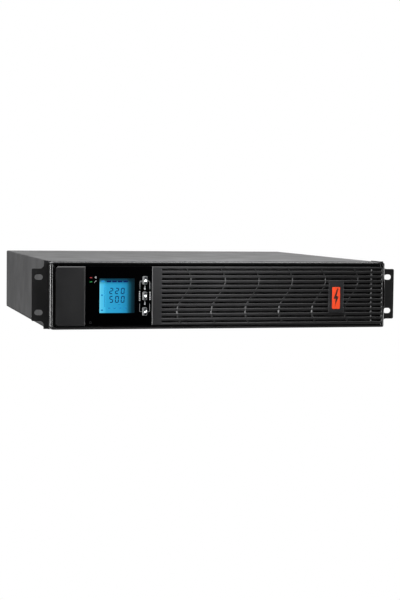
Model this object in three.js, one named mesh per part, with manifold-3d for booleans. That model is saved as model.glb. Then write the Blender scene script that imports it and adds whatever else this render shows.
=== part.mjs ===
// A 2U rack-mount uninterruptible power supply, as an assembly of separate pieces.
// Millimetres, +Z up. Inside this file y runs back from the front panel's face;
// the whole is moved at the end so that the origin is the centre of its footprint.
import * as THREE from 'three';
import { mergeVertices } from 'three/addons/utils/BufferGeometryUtils.js';
import Module from 'manifold-3d';

const wasm = await Module();
wasm.setup();

// ---- Driving dimensions -------------------------------------------------------------------

const RACK_WIDTH = 482.6; // over the ears, the 19 inch standard
const BODY_WIDTH = 440;
const BODY_HEIGHT = 86; // two rack units, less clearance
const BODY_DEPTH = 473; // front face to the cover's rear edge
const FRONT_PROUD = 1.5; // the badge plate stands out this far from the front face
const REAR_PROUD = 9; // the option slot's thumbscrews stand out this far behind the cover
const SHEET = 1.2; // steel sheet thickness
const GAP = 0.3; // clearance between neighbouring pieces
const HALF = BODY_WIDTH / 2;
const MID_Z = BODY_HEIGHT / 2;

// Front panel
const PANEL_DEPTH = 22;
const PANEL_HALF = 222.2; // the moulding stands a little proud of the unit's sides
const PANEL_SHOULDER = 18.6; // behind this depth it is narrow enough to pass between the ears
const PANEL_BOTTOM = 0.7;
const PANEL_TOP = 85.3;
const PANEL_CORNER = 4.5;
const PANEL_WALL = 2.2;
const BULKHEAD = PANEL_DEPTH + 2; // front face of the plate behind the front panel
const BORDER_SETBACK = 1.6; // the frame's lip lies this far behind the inserts' faces
const WINDOW = { left: -214, right: 218.8, bottom: 5.2, top: 80.2 }; // opening for the inserts
const SEAM_BLANK = -176.1; // seam between plain panel and display
const SEAM_GRILLE = -91.5; // seam between display and grille
const INSERT_THICK = 3;
const GRIP = { radius: 90, reach: 222.6, z: 42, floor: 4.4 }; // shallow finger scoop in the right border

// Grille
const SLOT_ROWS = 12;
const SLOT_PITCH = 6;
const SLOT_HEIGHT = 2.7;
const SLOT_TOP_ROW = 76;
const SLOT_LEFT = -78.8;
const SLOT_RIGHT = 216.9;
const END_RIB = 202.9; // the straight rib near the right end
const RIB = { count: 6, first: -49.35, pitch: 44.93, swing: 9, wave: 80, middle: 42.5, width: 1.5 };

// Display
const LCD = { x: -136.1, z: 43.3, width: 44.8, height: 43.4 };
const KEY = { x: -100.7, width: 5.8, height: 10.4, proud: 1.4 };
const DISPLAY_BOARD = 13; // front face of the board that carries the display, keys and lamps
const KEY_HEIGHTS = { up: 62.6, down: 42.9, enter: 23.2 };
const LAMP = { x: -169.4, width: 3.2, height: 1.6 };
const LAMP_HEIGHTS = { alarm: 65.9, running: 60.6 };
const BADGE = { left: 143.5, right: 164, bottom: 20.5, top: 62 };

// Rack ears
const EAR_SETBACK = 19;
const EAR_THICK = 2;
const EAR_LEG = 31; // length of the leg along the side
const EAR_TOP = 76.6;
const EAR_BOTTOM = 10.6;
const EAR_ROOT = 226;
const EAR_FILLET = 5;
const SLOT = { x: 232.5, length: 10.5, width: 7, low: 21.35, high: 65.8 }; // 44.45 mm apart
const EAR_SCREWS = [[32, 17], [32, 69], [43, 43]]; // y, z

// Battery bay
const BAY = { left: 10, right: 210, bottom: 4, top: 82, back: 345 };
const BATTERY = { width: 94, length: 151, height: 65 };

// Rear
const REAR_FACE = BODY_DEPTH - 1.3; // outer face of the rear panel
const FAN = { size: 80, depth: 25, bore: 76, hub: 31, blades: 7, z: MID_Z };
const FAN_X = { left: -172, right: -88 };
const INLET = { x: -22, z: 23 };
const BREAKER = { x: 12, z: 23 };
const STRIPS = { left: 68, right: 162, z: 23, pitch: 29.5, outlets: 3 };
const PACK_PORT = { x: -22, z: 64 };
const SERIAL = { x: 22, z: 64 };
const USB = { x: 50, z: 64 };
const NETWORK = { x: 76, z: 64 };
const OPTION = { x: 153, z: 63, width: 106, height: 34 };
const optionScrews = [-1, 1].map((side) => OPTION.x + side * (OPTION.width / 2 - 4));
const GROUND = { x: 12, z: 42 };

// ---- Materials ----------------------------------------------------------------------------

const finish = (color, roughness, metalness = 0) =>
  new THREE.MeshStandardMaterial({ color, roughness, metalness });

const material = {
  sheet: finish(0x1c1c1d, 0.5, 0.3),
  ear: finish(0x141415, 0.45, 0.3),
  zinc: finish(0xa8abad, 0.4, 0.9),
  plastic: finish(0x202021, 0.6),
  gloss: finish(0x050506, 0.12),
  lcd: finish(0x2fb0e0, 0.3),
  key: finish(0x8b8e90, 0.3, 0.4),
  red: finish(0xc03020, 0.3),
  green: finish(0x20a040, 0.3),
  badge: finish(0x161617, 0.5),
  foam: finish(0x111111, 0.95),
  board: finish(0x14502c, 0.55),
  aluminium: finish(0xb4b6b8, 0.35, 0.9),
  sleeve: finish(0x16233c, 0.4),
  copper: finish(0xa8581e, 0.35, 0.6),
  battery: finish(0x2a2b2e, 0.55),
  fan: finish(0x0e0e0f, 0.5),
  socket: finish(0x0b0b0c, 0.45),
  steel: finish(0xc4c6c8, 0.25, 1),
  ivory: finish(0x8f9296, 0.5),
  connector: finish(0x6c6f74, 0.55),
};

// ---- Geometry helpers ---------------------------------------------------------------------

// A closed geometry as a manifold solid.
function solidOf(geometry) {
  const plain = (geometry.index ? geometry.toNonIndexed() : geometry.clone());
  plain.deleteAttribute('normal');
  plain.deleteAttribute('uv');
  const merged = mergeVertices(plain, 1e-4);
  return new wasm.Manifold(new wasm.Mesh({
    numProp: 3,
    vertProperties: merged.attributes.position.array,
    triVerts: new Uint32Array(merged.index.array),
  }));
}

function geometryOf(solid) {
  const mesh = solid.getMesh();
  const geometry = new THREE.BufferGeometry();
  geometry.setAttribute('position', new THREE.BufferAttribute(mesh.vertProperties, 3));
  geometry.setIndex(new THREE.BufferAttribute(mesh.triVerts, 1));
  geometry.computeVertexNormals();
  return geometry;
}

const join = (...parts) => geometryOf(parts.map(solidOf).reduce((a, b) => a.add(b)));
const cut = (base, ...tools) => geometryOf(tools.map(solidOf).reduce((a, b) => a.subtract(b), solidOf(base)));

// A block between two corners.
function block(x0, x1, y0, y1, z0, z1) {
  return new THREE.BoxGeometry(x1 - x0, y1 - y0, z1 - z0)
    .translate((x0 + x1) / 2, (y0 + y1) / 2, (z0 + z1) / 2);
}

function extruded(shape, depth, curveSegments) {
  return new THREE.ExtrudeGeometry(shape, { depth, bevelEnabled: false, curveSegments });
}

// An x-z outline given thickness along y.
function slabY(shape, y0, y1, curveSegments = 4) {
  return extruded(shape, y1 - y0, curveSegments).rotateX(Math.PI / 2).translate(0, y1, 0);
}

// A y-z outline given thickness along x.
function slabX(shape, x0, x1, curveSegments = 4) {
  const turn = new THREE.Matrix4().makeBasis(
    new THREE.Vector3(0, 1, 0), new THREE.Vector3(0, 0, 1), new THREE.Vector3(1, 0, 0));
  return extruded(shape, x1 - x0, curveSegments).applyMatrix4(turn).translate(x0, 0, 0);
}

// An x-y outline given thickness along z.
function slabZ(shape, z0, z1, curveSegments = 4) {
  return extruded(shape, z1 - z0, curveSegments).translate(0, 0, z0);
}

function rodY(x, z, radius, y0, y1, sides = 16) {
  return new THREE.CylinderGeometry(radius, radius, y1 - y0, sides).translate(x, (y0 + y1) / 2, z);
}

function rodX(y, z, radius, x0, x1, sides = 12) {
  return new THREE.CylinderGeometry(radius, radius, x1 - x0, sides)
    .rotateZ(Math.PI / 2).translate((x0 + x1) / 2, y, z);
}

function rodZ(x, y, radius, z0, z1, sides = 16) {
  return new THREE.CylinderGeometry(radius, radius, z1 - z0, sides)
    .rotateX(Math.PI / 2).translate(x, y, (z0 + z1) / 2);
}

function outline(points, kind = THREE.Shape) {
  return new kind(points.map(([u, v]) => new THREE.Vector2(u, v)));
}

const rectangle = (u0, u1, v0, v1, kind = THREE.Shape) =>
  outline([[u0, v0], [u1, v0], [u1, v1], [u0, v1]], kind);

function roundedRectangle(u0, u1, v0, v1, radius, kind = THREE.Shape) {
  const path = new kind();
  path.moveTo(u0 + radius, v0);
  path.lineTo(u1 - radius, v0);
  path.absarc(u1 - radius, v0 + radius, radius, -Math.PI / 2, 0);
  path.lineTo(u1, v1 - radius);
  path.absarc(u1 - radius, v1 - radius, radius, 0, Math.PI / 2);
  path.lineTo(u0 + radius, v1);
  path.absarc(u0 + radius, v1 - radius, radius, Math.PI / 2, Math.PI);
  path.lineTo(u0, v0 + radius);
  path.absarc(u0 + radius, v0 + radius, radius, Math.PI, 1.5 * Math.PI);
  return path;
}

const centred = (x, z, width, height) =>
  rectangle(x - width / 2, x + width / 2, z - height / 2, z + height / 2);

function circle(x, z, radius) {
  const ring = new THREE.Shape();
  ring.absarc(x, z, radius, 0, 2 * Math.PI);
  return ring;
}

// A plate of the given x-z outline with openings cut right through it.
function pierced(shape, y0, y1, openings, curveSegments = 3) {
  const tools = openings.map((opening) => slabY(opening, y0 - 1, y1 + 1, curveSegments));
  return cut(slabY(shape, y0, y1, curveSegments), ...tools);
}

// A rectangle of the given size about a centre, both upper corners cut off, as on a mains connector.
function connectorOutline(x, z, width, height, corner) {
  const [w, h] = [width / 2, height / 2];
  return outline([
    [x - w, z - h], [x + w, z - h], [x + w, z + h - corner],
    [x + w - corner, z + h], [x - w + corner, z + h], [x - w, z + h - corner],
  ]);
}

// ---- Assembly -----------------------------------------------------------------------------

const unit = new THREE.Group();
const assembly = new THREE.Group();
assembly.position.y = (FRONT_PROUD - BODY_DEPTH - REAR_PROUD) / 2;
unit.add(assembly);

const chassis = new THREE.Group();
const frontPanel = new THREE.Group();
const batteryPack = new THREE.Group();
assembly.add(chassis, frontPanel, batteryPack);

function place(group, name, geometry, finishOf) {
  const mesh = new THREE.Mesh(geometry, finishOf);
  mesh.name = name;
  group.add(mesh);
  return mesh;
}

// ---- Sheet metal --------------------------------------------------------------------------

const BOARD_BOTTOM = 8; // underside of the power board
const BOARD_THICK = 1.6;
const RUNNER_TOP = BAY.bottom + 0.5;

// Floor with two low flanges, runners for the battery tray and pillars for the power board.
function basePan() {
  const flangeOut = HALF - SHEET - GAP;
  const flangeIn = flangeOut - SHEET;
  const flangeTop = 14;
  const edge = HALF - 0.2;
  const profile = outline([
    [-edge, 0], [edge, 0], [edge, SHEET], [flangeOut, SHEET], [flangeOut, flangeTop], [flangeIn, flangeTop],
    [flangeIn, SHEET], [-flangeIn, SHEET], [-flangeIn, flangeTop], [-flangeOut, flangeTop],
    [-flangeOut, SHEET], [-edge, SHEET],
  ]);
  const floor = slabY(profile, PANEL_DEPTH + 1, BODY_DEPTH - 0.5);
  const runners = [24, 180].map((x) => block(x, x + 16, 30, BAY.back - 5, 0.5, RUNNER_TOP));
  const pillars = [-205, -12].flatMap((x) =>
    [60, 250, 430].map((y) => rodZ(x, y, 3, 0.5, BOARD_BOTTOM - GAP, 8)));
  return join(floor, ...runners, ...pillars);
}

// Top and both sides folded from one sheet, with holes for the ear screws.
function topCover() {
  const bottom = SHEET + 0.5;
  const bend = 1.8;
  const inner = bend - SHEET;
  const profile = new THREE.Shape();
  profile.moveTo(HALF, bottom);
  profile.absarc(HALF - bend, BODY_HEIGHT - bend, bend, 0, Math.PI / 2);
  profile.absarc(-HALF + bend, BODY_HEIGHT - bend, bend, Math.PI / 2, Math.PI);
  profile.lineTo(-HALF, bottom);
  profile.lineTo(-HALF + SHEET, bottom);
  profile.absarc(-HALF + bend, BODY_HEIGHT - bend, inner, Math.PI, Math.PI / 2, true);
  profile.absarc(HALF - bend, BODY_HEIGHT - bend, inner, Math.PI / 2, 0, true);
  profile.lineTo(HALF - SHEET, bottom);
  const shell = slabY(profile, PANEL_DEPTH + 0.6, BODY_DEPTH, 2);
  const holes = EAR_SCREWS.map(([y, z]) => rodX(y, z, 2.1, -HALF - 3, HALF + 3, 10));
  return cut(shell, ...holes);
}

// Plate behind the front panel: intake slots, the battery bay's mouth, four latch slots.
const LATCHES = [[20, 32], [54, 66]]; // z ranges
const LATCH_X = 214;
function frontBulkhead() {
  const edge = HALF - 3;
  const openings = [rectangle(BAY.left, BAY.right, BAY.bottom, BAY.top)];
  for (let row = 0; row < 6; row++)
    for (const x of [-59, -19]) openings.push(centred(x, 15 + row * 11, 34, 6));
  for (const x of [-LATCH_X, LATCH_X])
    for (const [low, high] of LATCHES) openings.push(rectangle(x - 1.6, x + 1.6, low - 1, high + 1));
  return pierced(rectangle(-edge, edge, 1.5, BODY_HEIGHT - 1.5), BULKHEAD, BULKHEAD + SHEET, openings);
}

// Wall round the battery bay's inner side and back, one folded sheet.
function bayDivider() {
  const [front, back] = [BULKHEAD + SHEET + GAP, BAY.back];
  const left = BAY.left - 4;
  const right = HALF - SHEET - 3.3;
  const plan = outline([
    [left - SHEET, front], [left, front], [left, back - SHEET], [right, back - SHEET],
    [right, back], [left - SHEET, back],
  ]);
  return slabZ(plan, SHEET + GAP, BODY_HEIGHT - SHEET - GAP);
}

// Rear plate with a cut-out for everything that it carries.
function rearPanel() {
  const edge = HALF - 3;
  return pierced(rectangle(-edge, edge, 1.5, BODY_HEIGHT - 1.5), REAR_FACE - SHEET, REAR_FACE, [
    ...Object.values(FAN_X).map((x) => circle(x, FAN.z, FAN.bore / 2 - 1)),
    centred(INLET.x, INLET.z, 28.6, 21.6),
    circle(BREAKER.x, BREAKER.z, 6.5),
    centred(STRIPS.left, STRIPS.z, 88.6, 22.6),
    centred(STRIPS.right, STRIPS.z, 88.6, 22.6),
    centred(PACK_PORT.x, PACK_PORT.z, 43.6, 19),
    centred(SERIAL.x, SERIAL.z, 19.6, 10.6),
    centred(USB.x, USB.z, 12.6, 11.6),
    centred(NETWORK.x, NETWORK.z, 31.6, 14.6),
    centred(OPTION.x, OPTION.z, OPTION.width - 18, OPTION.height - 8),
    ...optionScrews.map((x) => circle(x, OPTION.z, 2)),
    circle(GROUND.x, GROUND.z, 2.3),
  ], 6);
}

// Bracket that carries the unit in the rack: a slotted flange and a leg screwed to the side.
function rackEar(side) {
  const legIn = HALF + GAP;
  const legOut = legIn + EAR_THICK;
  const top = BODY_HEIGHT + 0.6;
  const bottom = 0.6;
  const tip = RACK_WIDTH / 2;
  const flange = new THREE.Shape();
  flange.moveTo(legIn, bottom);
  flange.lineTo(EAR_ROOT, bottom);
  flange.absarc(EAR_ROOT + EAR_FILLET, EAR_BOTTOM - EAR_FILLET, EAR_FILLET, Math.PI, Math.PI / 2, true);
  flange.lineTo(tip - 1.2, EAR_BOTTOM);
  flange.lineTo(tip, EAR_BOTTOM + 1.2);
  flange.lineTo(tip, EAR_TOP - 1.2);
  flange.lineTo(tip - 1.2, EAR_TOP);
  flange.absarc(EAR_ROOT + EAR_FILLET, EAR_TOP + EAR_FILLET, EAR_FILLET, -Math.PI / 2, Math.PI, true);
  flange.lineTo(EAR_ROOT, top);
  flange.lineTo(legIn, top);
  for (const z of [SLOT.low, SLOT.high]) {
    const half = (SLOT.length - SLOT.width) / 2;
    const slot = new THREE.Path();
    slot.absarc(SLOT.x + half, z, SLOT.width / 2, -Math.PI / 2, Math.PI / 2);
    slot.absarc(SLOT.x - half, z, SLOT.width / 2, Math.PI / 2, 1.5 * Math.PI);
    flange.holes.push(slot);
  }
  const leg = rectangle(EAR_SETBACK, EAR_SETBACK + EAR_LEG, bottom, top);
  for (const [y, z] of EAR_SCREWS) {
    const hole = new THREE.Path();
    hole.absarc(y, z, 2.1, 0, 2 * Math.PI);
    leg.holes.push(hole);
  }
  const right = join(slabY(flange, EAR_SETBACK, EAR_SETBACK + EAR_THICK, 3), slabX(leg, legIn, legOut, 4));
  return side > 0 ? right : mirrored(right);
}

// The same geometry on the other side of the centre plane.
function mirrored(geometry) {
  const other = geometry.clone().applyMatrix4(new THREE.Matrix4().makeScale(-1, 1, 1));
  const index = other.index.array;
  for (let i = 0; i < index.length; i += 3)
    [index[i + 1], index[i + 2]] = [index[i + 2], index[i + 1]];
  other.computeVertexNormals();
  return other;
}

// A turned screw along +x from the origin: pan head outwards, shank inwards.
function panScrew(headRadius, headHeight, shankRadius, shankLength) {
  const profile = outline([
    [0, -shankLength], [shankRadius, -shankLength], [shankRadius, 0], [headRadius, 0],
    [headRadius, headHeight * 0.5], [headRadius * 0.6, headHeight], [0, headHeight],
  ]).getPoints();
  return new THREE.LatheGeometry(profile, 10).rotateZ(-Math.PI / 2);
}

place(chassis, 'base_pan', basePan(), material.sheet);
place(chassis, 'top_cover', topCover(), material.sheet);
place(chassis, 'front_bulkhead', frontBulkhead(), material.sheet);
place(chassis, 'bay_divider', bayDivider(), material.sheet);
place(chassis, 'rear_panel', rearPanel(), material.sheet);
for (const [label, side] of [['left', -1], ['right', 1]]) {
  place(chassis, `rack_ear_${label}`, rackEar(side), material.ear);
  EAR_SCREWS.forEach(([y, z], i) => {
    const screw = place(chassis, `ear_screw_${label}_${i + 1}`, panScrew(3.8, 2, 1.8, 8), material.zinc);
    screw.position.set(side * (HALF + GAP + EAR_THICK + 0.1), y, z);
    screw.rotation.z = side > 0 ? 0 : Math.PI;
  });
}

// ---- Electronics --------------------------------------------------------------------------

const BOARD_TOP = BOARD_BOTTOM + BOARD_THICK;

// Comb of upright fins on a thick base, seen along y.
function heatsink(width, height, fins, y0, y1) {
  const [base, fin] = [4, 1.6];
  const step = (width - fin) / (fins - 1);
  const points = [[0, 0], [width, 0]];
  for (let i = fins - 1; i >= 0; i--)
    points.push([i * step + fin, base], [i * step + fin, height], [i * step, height], [i * step, base]);
  const clean = points.filter(([x, z]) => !((x === width || x === 0) && z === base));
  return slabY(outline(clean), y0, y1);
}

function capacitor(radius, height) {
  const rim = 1.2;
  const profile = outline([
    [0, 0], [radius, 0], [radius, height - rim], [radius - rim, height],
    [radius - 3, height - 0.8], [0, height - 0.8],
  ]).getPoints();
  return new THREE.LatheGeometry(profile, 20).rotateX(Math.PI / 2);
}

const onBoard = BOARD_TOP + GAP;
place(chassis, 'power_board', block(-212, -5, 40, 438, BOARD_BOTTOM, BOARD_TOP), material.board);
place(chassis, 'control_board', block(-22, -20.4, 190, 400, onBoard, 76), material.board);
for (const [label, x] of [['left', -204], ['right', -112]]) {
  const fins = heatsink(50, 58, 9, 130, 290).translate(x, 0, onBoard);
  place(chassis, `heatsink_${label}`, fins, material.aluminium);
}
[-180, -130].forEach((x, i) => {
  const can = place(chassis, `bus_capacitor_${i + 1}`, capacitor(17.5, 50), material.sleeve);
  can.position.set(x, 80, onBoard);
});
for (const [name, x] of [['input_inductor', -165], ['output_inductor', -78]]) {
  const coil = place(chassis, name, new THREE.TorusGeometry(24, 12, 8, 20), material.copper);
  coil.position.set(x, 360, onBoard + 12);
}

// ---- Fans ---------------------------------------------------------------------------------

const FAN_BACK = REAR_FACE - SHEET - GAP;
const FAN_FRONT = FAN_BACK - FAN.depth;
const MOTOR_DEPTH = 5;

// Square frame with a round duct, motor seat and four struts; x and z about the fan's axis.
function fanFrame() {
  const half = FAN.size / 2;
  const reach = FAN.bore / 2 + 1;
  const body = slabY(roundedRectangle(-half, half, -half, half, 4), FAN_FRONT, FAN_BACK, 1);
  return join(
    cut(body, rodY(0, 0, FAN.bore / 2, FAN_FRONT - 1, FAN_BACK + 1, 32)),
    rodY(0, 0, FAN.hub / 2, FAN_BACK - MOTOR_DEPTH, FAN_BACK, 20),
    block(-reach, reach, FAN_BACK - 3, FAN_BACK, -1.5, 1.5),
    block(-1.5, 1.5, FAN_BACK - 3, FAN_BACK, -reach, reach),
  );
}

// Hub and twisted blades, turning inside the frame.
function fanRotor() {
  const [y0, y1] = [FAN_FRONT + 2, FAN_BACK - MOTOR_DEPTH - 0.8];
  const hub = rodY(0, 0, FAN.hub / 2 + 0.5, y0, y1, 20);
  const span = FAN.bore / 2 - 2.5 - (FAN.hub / 2 - 1);
  const blades = Array.from({ length: FAN.blades }, (_, i) =>
    new THREE.BoxGeometry(span, 1.4, 17)
      .rotateX(THREE.MathUtils.degToRad(38))
      .translate(FAN.hub / 2 - 1 + span / 2, (y0 + y1) / 2, 0)
      .rotateY((2 * Math.PI * i) / FAN.blades));
  return join(hub, ...blades);
}

// Wire finger guard behind the panel: rings on four bars that end at the fan's corners.
function fanGuard() {
  const [wire, seat] = [0.8, REAR_FACE + GAP];
  const rings = [12, 24, 36].map((radius) =>
    new THREE.TorusGeometry(radius, wire, 4, 20).rotateX(Math.PI / 2).translate(0, seat + 2 * wire, 0));
  const bars = [0, 1].map((i) =>
    new THREE.BoxGeometry(101, 2 * wire, 2 * wire).translate(0, seat + wire, 0)
      .rotateY(Math.PI / 4 + (i * Math.PI) / 2));
  return join(...rings, ...bars);
}

for (const [label, x] of Object.entries(FAN_X)) {
  const fan = new THREE.Group();
  fan.position.set(x, 0, FAN.z);
  chassis.add(fan);
  place(fan, `fan_frame_${label}`, fanFrame(), material.fan);
  place(fan, `fan_rotor_${label}`, fanRotor(), material.fan);
  place(fan, `fan_guard_${label}`, fanGuard(), material.steel);
}

// ---- Rear connectors ----------------------------------------------------------------------

const SEAT = REAR_FACE + GAP; // flanges sit here

// Appliance inlet: flange, body, and a cavity with three blades.
function mainsInlet() {
  const { x, z } = INLET;
  const flange = slabY(roundedRectangle(x - 24, x + 24, z - 12, z + 12, 3), SEAT, SEAT + 2.2, 3);
  const body = block(x - 14, x + 14, REAR_FACE - 24, SEAT + 0.5, z - 10.5, z + 10.5);
  const cavity = slabY(connectorOutline(x, z, 24.2, 16.6, 5), REAR_FACE - 16, SEAT + 3);
  const blades = [[-7, -2], [7, -2], [0, 3]].map(([dx, dz]) =>
    block(x + dx - 1, x + dx + 1, REAR_FACE - 16.5, REAR_FACE - 2, z + dz - 2, z + dz + 2));
  return join(cut(join(flange, body), cavity), ...blades);
}

// Strip of mains outlets: each a moat round a slotted tongue.
function outletStrip(centre) {
  const z = STRIPS.z;
  const half = 44;
  const flange = block(centre - half - 2, centre + half + 2, SEAT, SEAT + 2, z - 13, z + 13);
  const body = block(centre - half, centre + half, REAR_FACE - 22, SEAT + 0.5, z - 11, z + 11);
  const tools = [];
  for (let i = 0; i < STRIPS.outlets; i++) {
    const x = centre + (i - (STRIPS.outlets - 1) / 2) * STRIPS.pitch;
    const moat = connectorOutline(x, z, 25, 17.4, 5);
    moat.holes.push(connectorOutline(x, z, 20.4, 12.6, 3.6));
    tools.push(slabY(moat, REAR_FACE - 14, SEAT + 3));
    for (const [dx, dz] of [[-7, -1.5], [7, -1.5], [0, 2.5]])
      tools.push(block(x + dx - 1.2, x + dx + 1.2, REAR_FACE - 14, SEAT + 3, z + dz - 2.5, z + dz + 2.5));
  }
  return cut(join(flange, body), ...tools);
}

// Threaded bushing breaker: round nose outside, square body inside, bored for its button.
function breakerBody() {
  const { x, z } = BREAKER;
  const nose = rodY(x, z, 8, SEAT, SEAT + 2.4, 6);
  const neck = rodY(x, z, 6, REAR_FACE - 8, SEAT + 4.5, 16);
  const body = block(x - 8, x + 8, REAR_FACE - 34, REAR_FACE - SHEET - GAP, z - 15, z + 15);
  return cut(join(nose, neck, body), rodY(x, z, 4, REAR_FACE - 10, SEAT + 6, 16));
}

// Two-pole battery socket: a block with two open chambers, each with a contact along its floor.
function packPort() {
  const { x, z } = PACK_PORT;
  const flange = block(x - 23, x + 23, SEAT, SEAT + 2, z - 10.5, z + 10.5);
  const body = block(x - 18.5, x + 18.5, REAR_FACE - 26, SEAT + 2, z - 8, z + 8);
  const chambers = [-1, 1].map((side) =>
    block(x + side * 9 - 7, x + side * 9 + 7, REAR_FACE - 14, SEAT + 3, z - 5.8, z + 5.8));
  const contacts = [-1, 1].map((side) =>
    block(x + side * 9 - 4, x + side * 9 + 4, REAR_FACE - 14.5, REAR_FACE - 3, z - 6, z - 4));
  return join(cut(join(flange, body), ...chambers), ...contacts);
}

// D-shaped nine-way socket.
function serialPort() {
  const { x, z } = SERIAL;
  const flange = slabY(roundedRectangle(x - 15.5, x + 15.5, z - 6.2, z + 6.2, 1.5), SEAT, SEAT + 0.8, 2);
  const shell = outline([[x - 7.6, z - 4.2], [x + 7.6, z - 4.2], [x + 8.6, z + 4.2], [x - 8.6, z + 4.2]]);
  const nuts = [-1, 1].map((side) => rodY(x + side * 12.5, z, 2.6, SEAT + 0.5, SEAT + 5, 6));
  const back = block(x - 9.4, x + 9.4, REAR_FACE - 10, SEAT + 0.4, z - 5, z + 5);
  return join(flange, back, slabY(shell, SEAT + 0.4, SEAT + 5.8), ...nuts);
}

// Square type B port with its tongue.
function usbPort() {
  const { x, z } = USB;
  const shell = block(x - 6, x + 6, REAR_FACE - 16, SEAT + 1.2, z - 5.4, z + 5.4);
  const mouth = connectorOutline(x, z, 8.6, 7.9, 1.6);
  mouth.holes.push(rectangle(x - 2.8, x + 2.8, z - 1.6, z + 1.6, THREE.Path));
  return cut(shell, slabY(mouth, REAR_FACE - 8, SEAT + 2));
}

// Two eight-way jacks side by side.
function networkPorts() {
  const { x, z } = NETWORK;
  const shell = block(x - 15.5, x + 15.5, REAR_FACE - 18, SEAT + 1.5, z - 7, z + 7);
  const mouths = [-1, 1].map((side) => {
    const cx = x + side * 7.4;
    const mouth = outline([
      [cx - 5.9, z - 3.4], [cx + 5.9, z - 3.4], [cx + 5.9, z + 3.4], [cx + 3, z + 3.4], [cx + 3, z + 5],
      [cx - 3, z + 5], [cx - 3, z + 3.4], [cx - 5.9, z + 3.4],
    ]);
    return slabY(mouth, REAR_FACE - 13, SEAT + 3);
  });
  return cut(shell, ...mouths);
}

// Knurled screw that holds the option slot's cover; its axis is y.
function thumbscrew() {
  const proud = BODY_DEPTH + REAR_PROUD - (SEAT + SHEET + 0.1);
  const profile = outline([
    [0, -4.5], [1.6, -4.5], [1.6, 0], [4, 0], [4, 1.2], [3.2, 1.4], [3.2, 2.2], [4, 2.4],
    [4, proud - 0.6], [3.4, proud], [0, proud],
  ]).getPoints();
  return new THREE.LatheGeometry(profile, 14);
}

function optionCover() {
  const { x, z, width, height } = OPTION;
  const plate = roundedRectangle(x - width / 2, x + width / 2, z - height / 2, z + height / 2, 2);
  return pierced(plate, SEAT, SEAT + SHEET, optionScrews.map((at) => circle(at, z, 2)));
}

place(chassis, 'mains_inlet', mainsInlet(), material.socket);
place(chassis, 'outlet_strip_left', outletStrip(STRIPS.left), material.socket);
place(chassis, 'outlet_strip_right', outletStrip(STRIPS.right), material.socket);
place(chassis, 'breaker_body', breakerBody(), material.socket);
place(chassis, 'external_battery_port', packPort(), material.connector);
place(chassis, 'serial_port', serialPort(), material.steel);
place(chassis, 'usb_port', usbPort(), material.ivory);
place(chassis, 'network_ports', networkPorts(), material.socket);
place(chassis, 'option_slot_cover', optionCover(), material.sheet);
optionScrews.forEach((x, i) => {
  const screw = place(chassis, `slot_thumbscrew_${i + 1}`, thumbscrew(), material.zinc);
  screw.position.set(x, SEAT + SHEET + 0.1, OPTION.z);
});
const groundScrew = place(chassis, 'ground_screw', panScrew(4.2, 2.4, 2, 7), material.zinc);
groundScrew.position.set(GROUND.x, SEAT, GROUND.z);
groundScrew.rotation.z = Math.PI / 2;

// Button of the breaker: flush with the nose at rest, and out when it trips.
place(chassis, 'breaker_button',
  rodY(BREAKER.x, BREAKER.z, 3.6, REAR_FACE - 8, SEAT + 5, 16), material.ivory);

// ---- Battery pack -------------------------------------------------------------------------

const TRAY = { left: 12, right: 208, floor: RUNNER_TOP + GAP, wall: 40, back: 336 };
const PACK_LINK = { x: 168, z: 58 };

// Folded tray with a tall front plate that closes the bay.
function batteryTray() {
  const { left, right, floor, wall, back } = TRAY;
  const front = rectangle(BAY.left + 0.5, BAY.right - 0.5, BAY.bottom + 0.5, BAY.top - 0.5);
  const slots = [0, 1, 2, 3, 4].map((i) => centred(37 + i * 20, 32, 14, 4));
  return join(
    pierced(front, BULKHEAD, BULKHEAD + SHEET, [centred(PACK_LINK.x, PACK_LINK.z, 38, 17.6), ...slots]),
    block(left, right, BULKHEAD, back, floor, floor + SHEET),
    block(left, left + SHEET, BULKHEAD, back, floor, wall),
    block(right - SHEET, right, BULKHEAD, back, floor, wall),
    block(left, right, back - SHEET, back, floor, wall),
  );
}

place(batteryPack, 'battery_tray', batteryTray(), material.zinc);
const batteryFloor = TRAY.floor + SHEET + GAP;
[14.2, 111.8].forEach((x, column) => {
  [28.2, 181.5].forEach((y, row) => {
    const cell = block(x, x + BATTERY.width, y, y + BATTERY.length,
      batteryFloor, batteryFloor + BATTERY.height);
    place(batteryPack, `battery_${column * 2 + row + 1}`, cell, material.battery);
  });
});
place(batteryPack, 'pack_connector',
  slabY(centred(PACK_LINK.x, PACK_LINK.z, 37, 16.6), PANEL_DEPTH - 4, PANEL_DEPTH + 5.5), material.connector);

// ---- Front panel --------------------------------------------------------------------------

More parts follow.
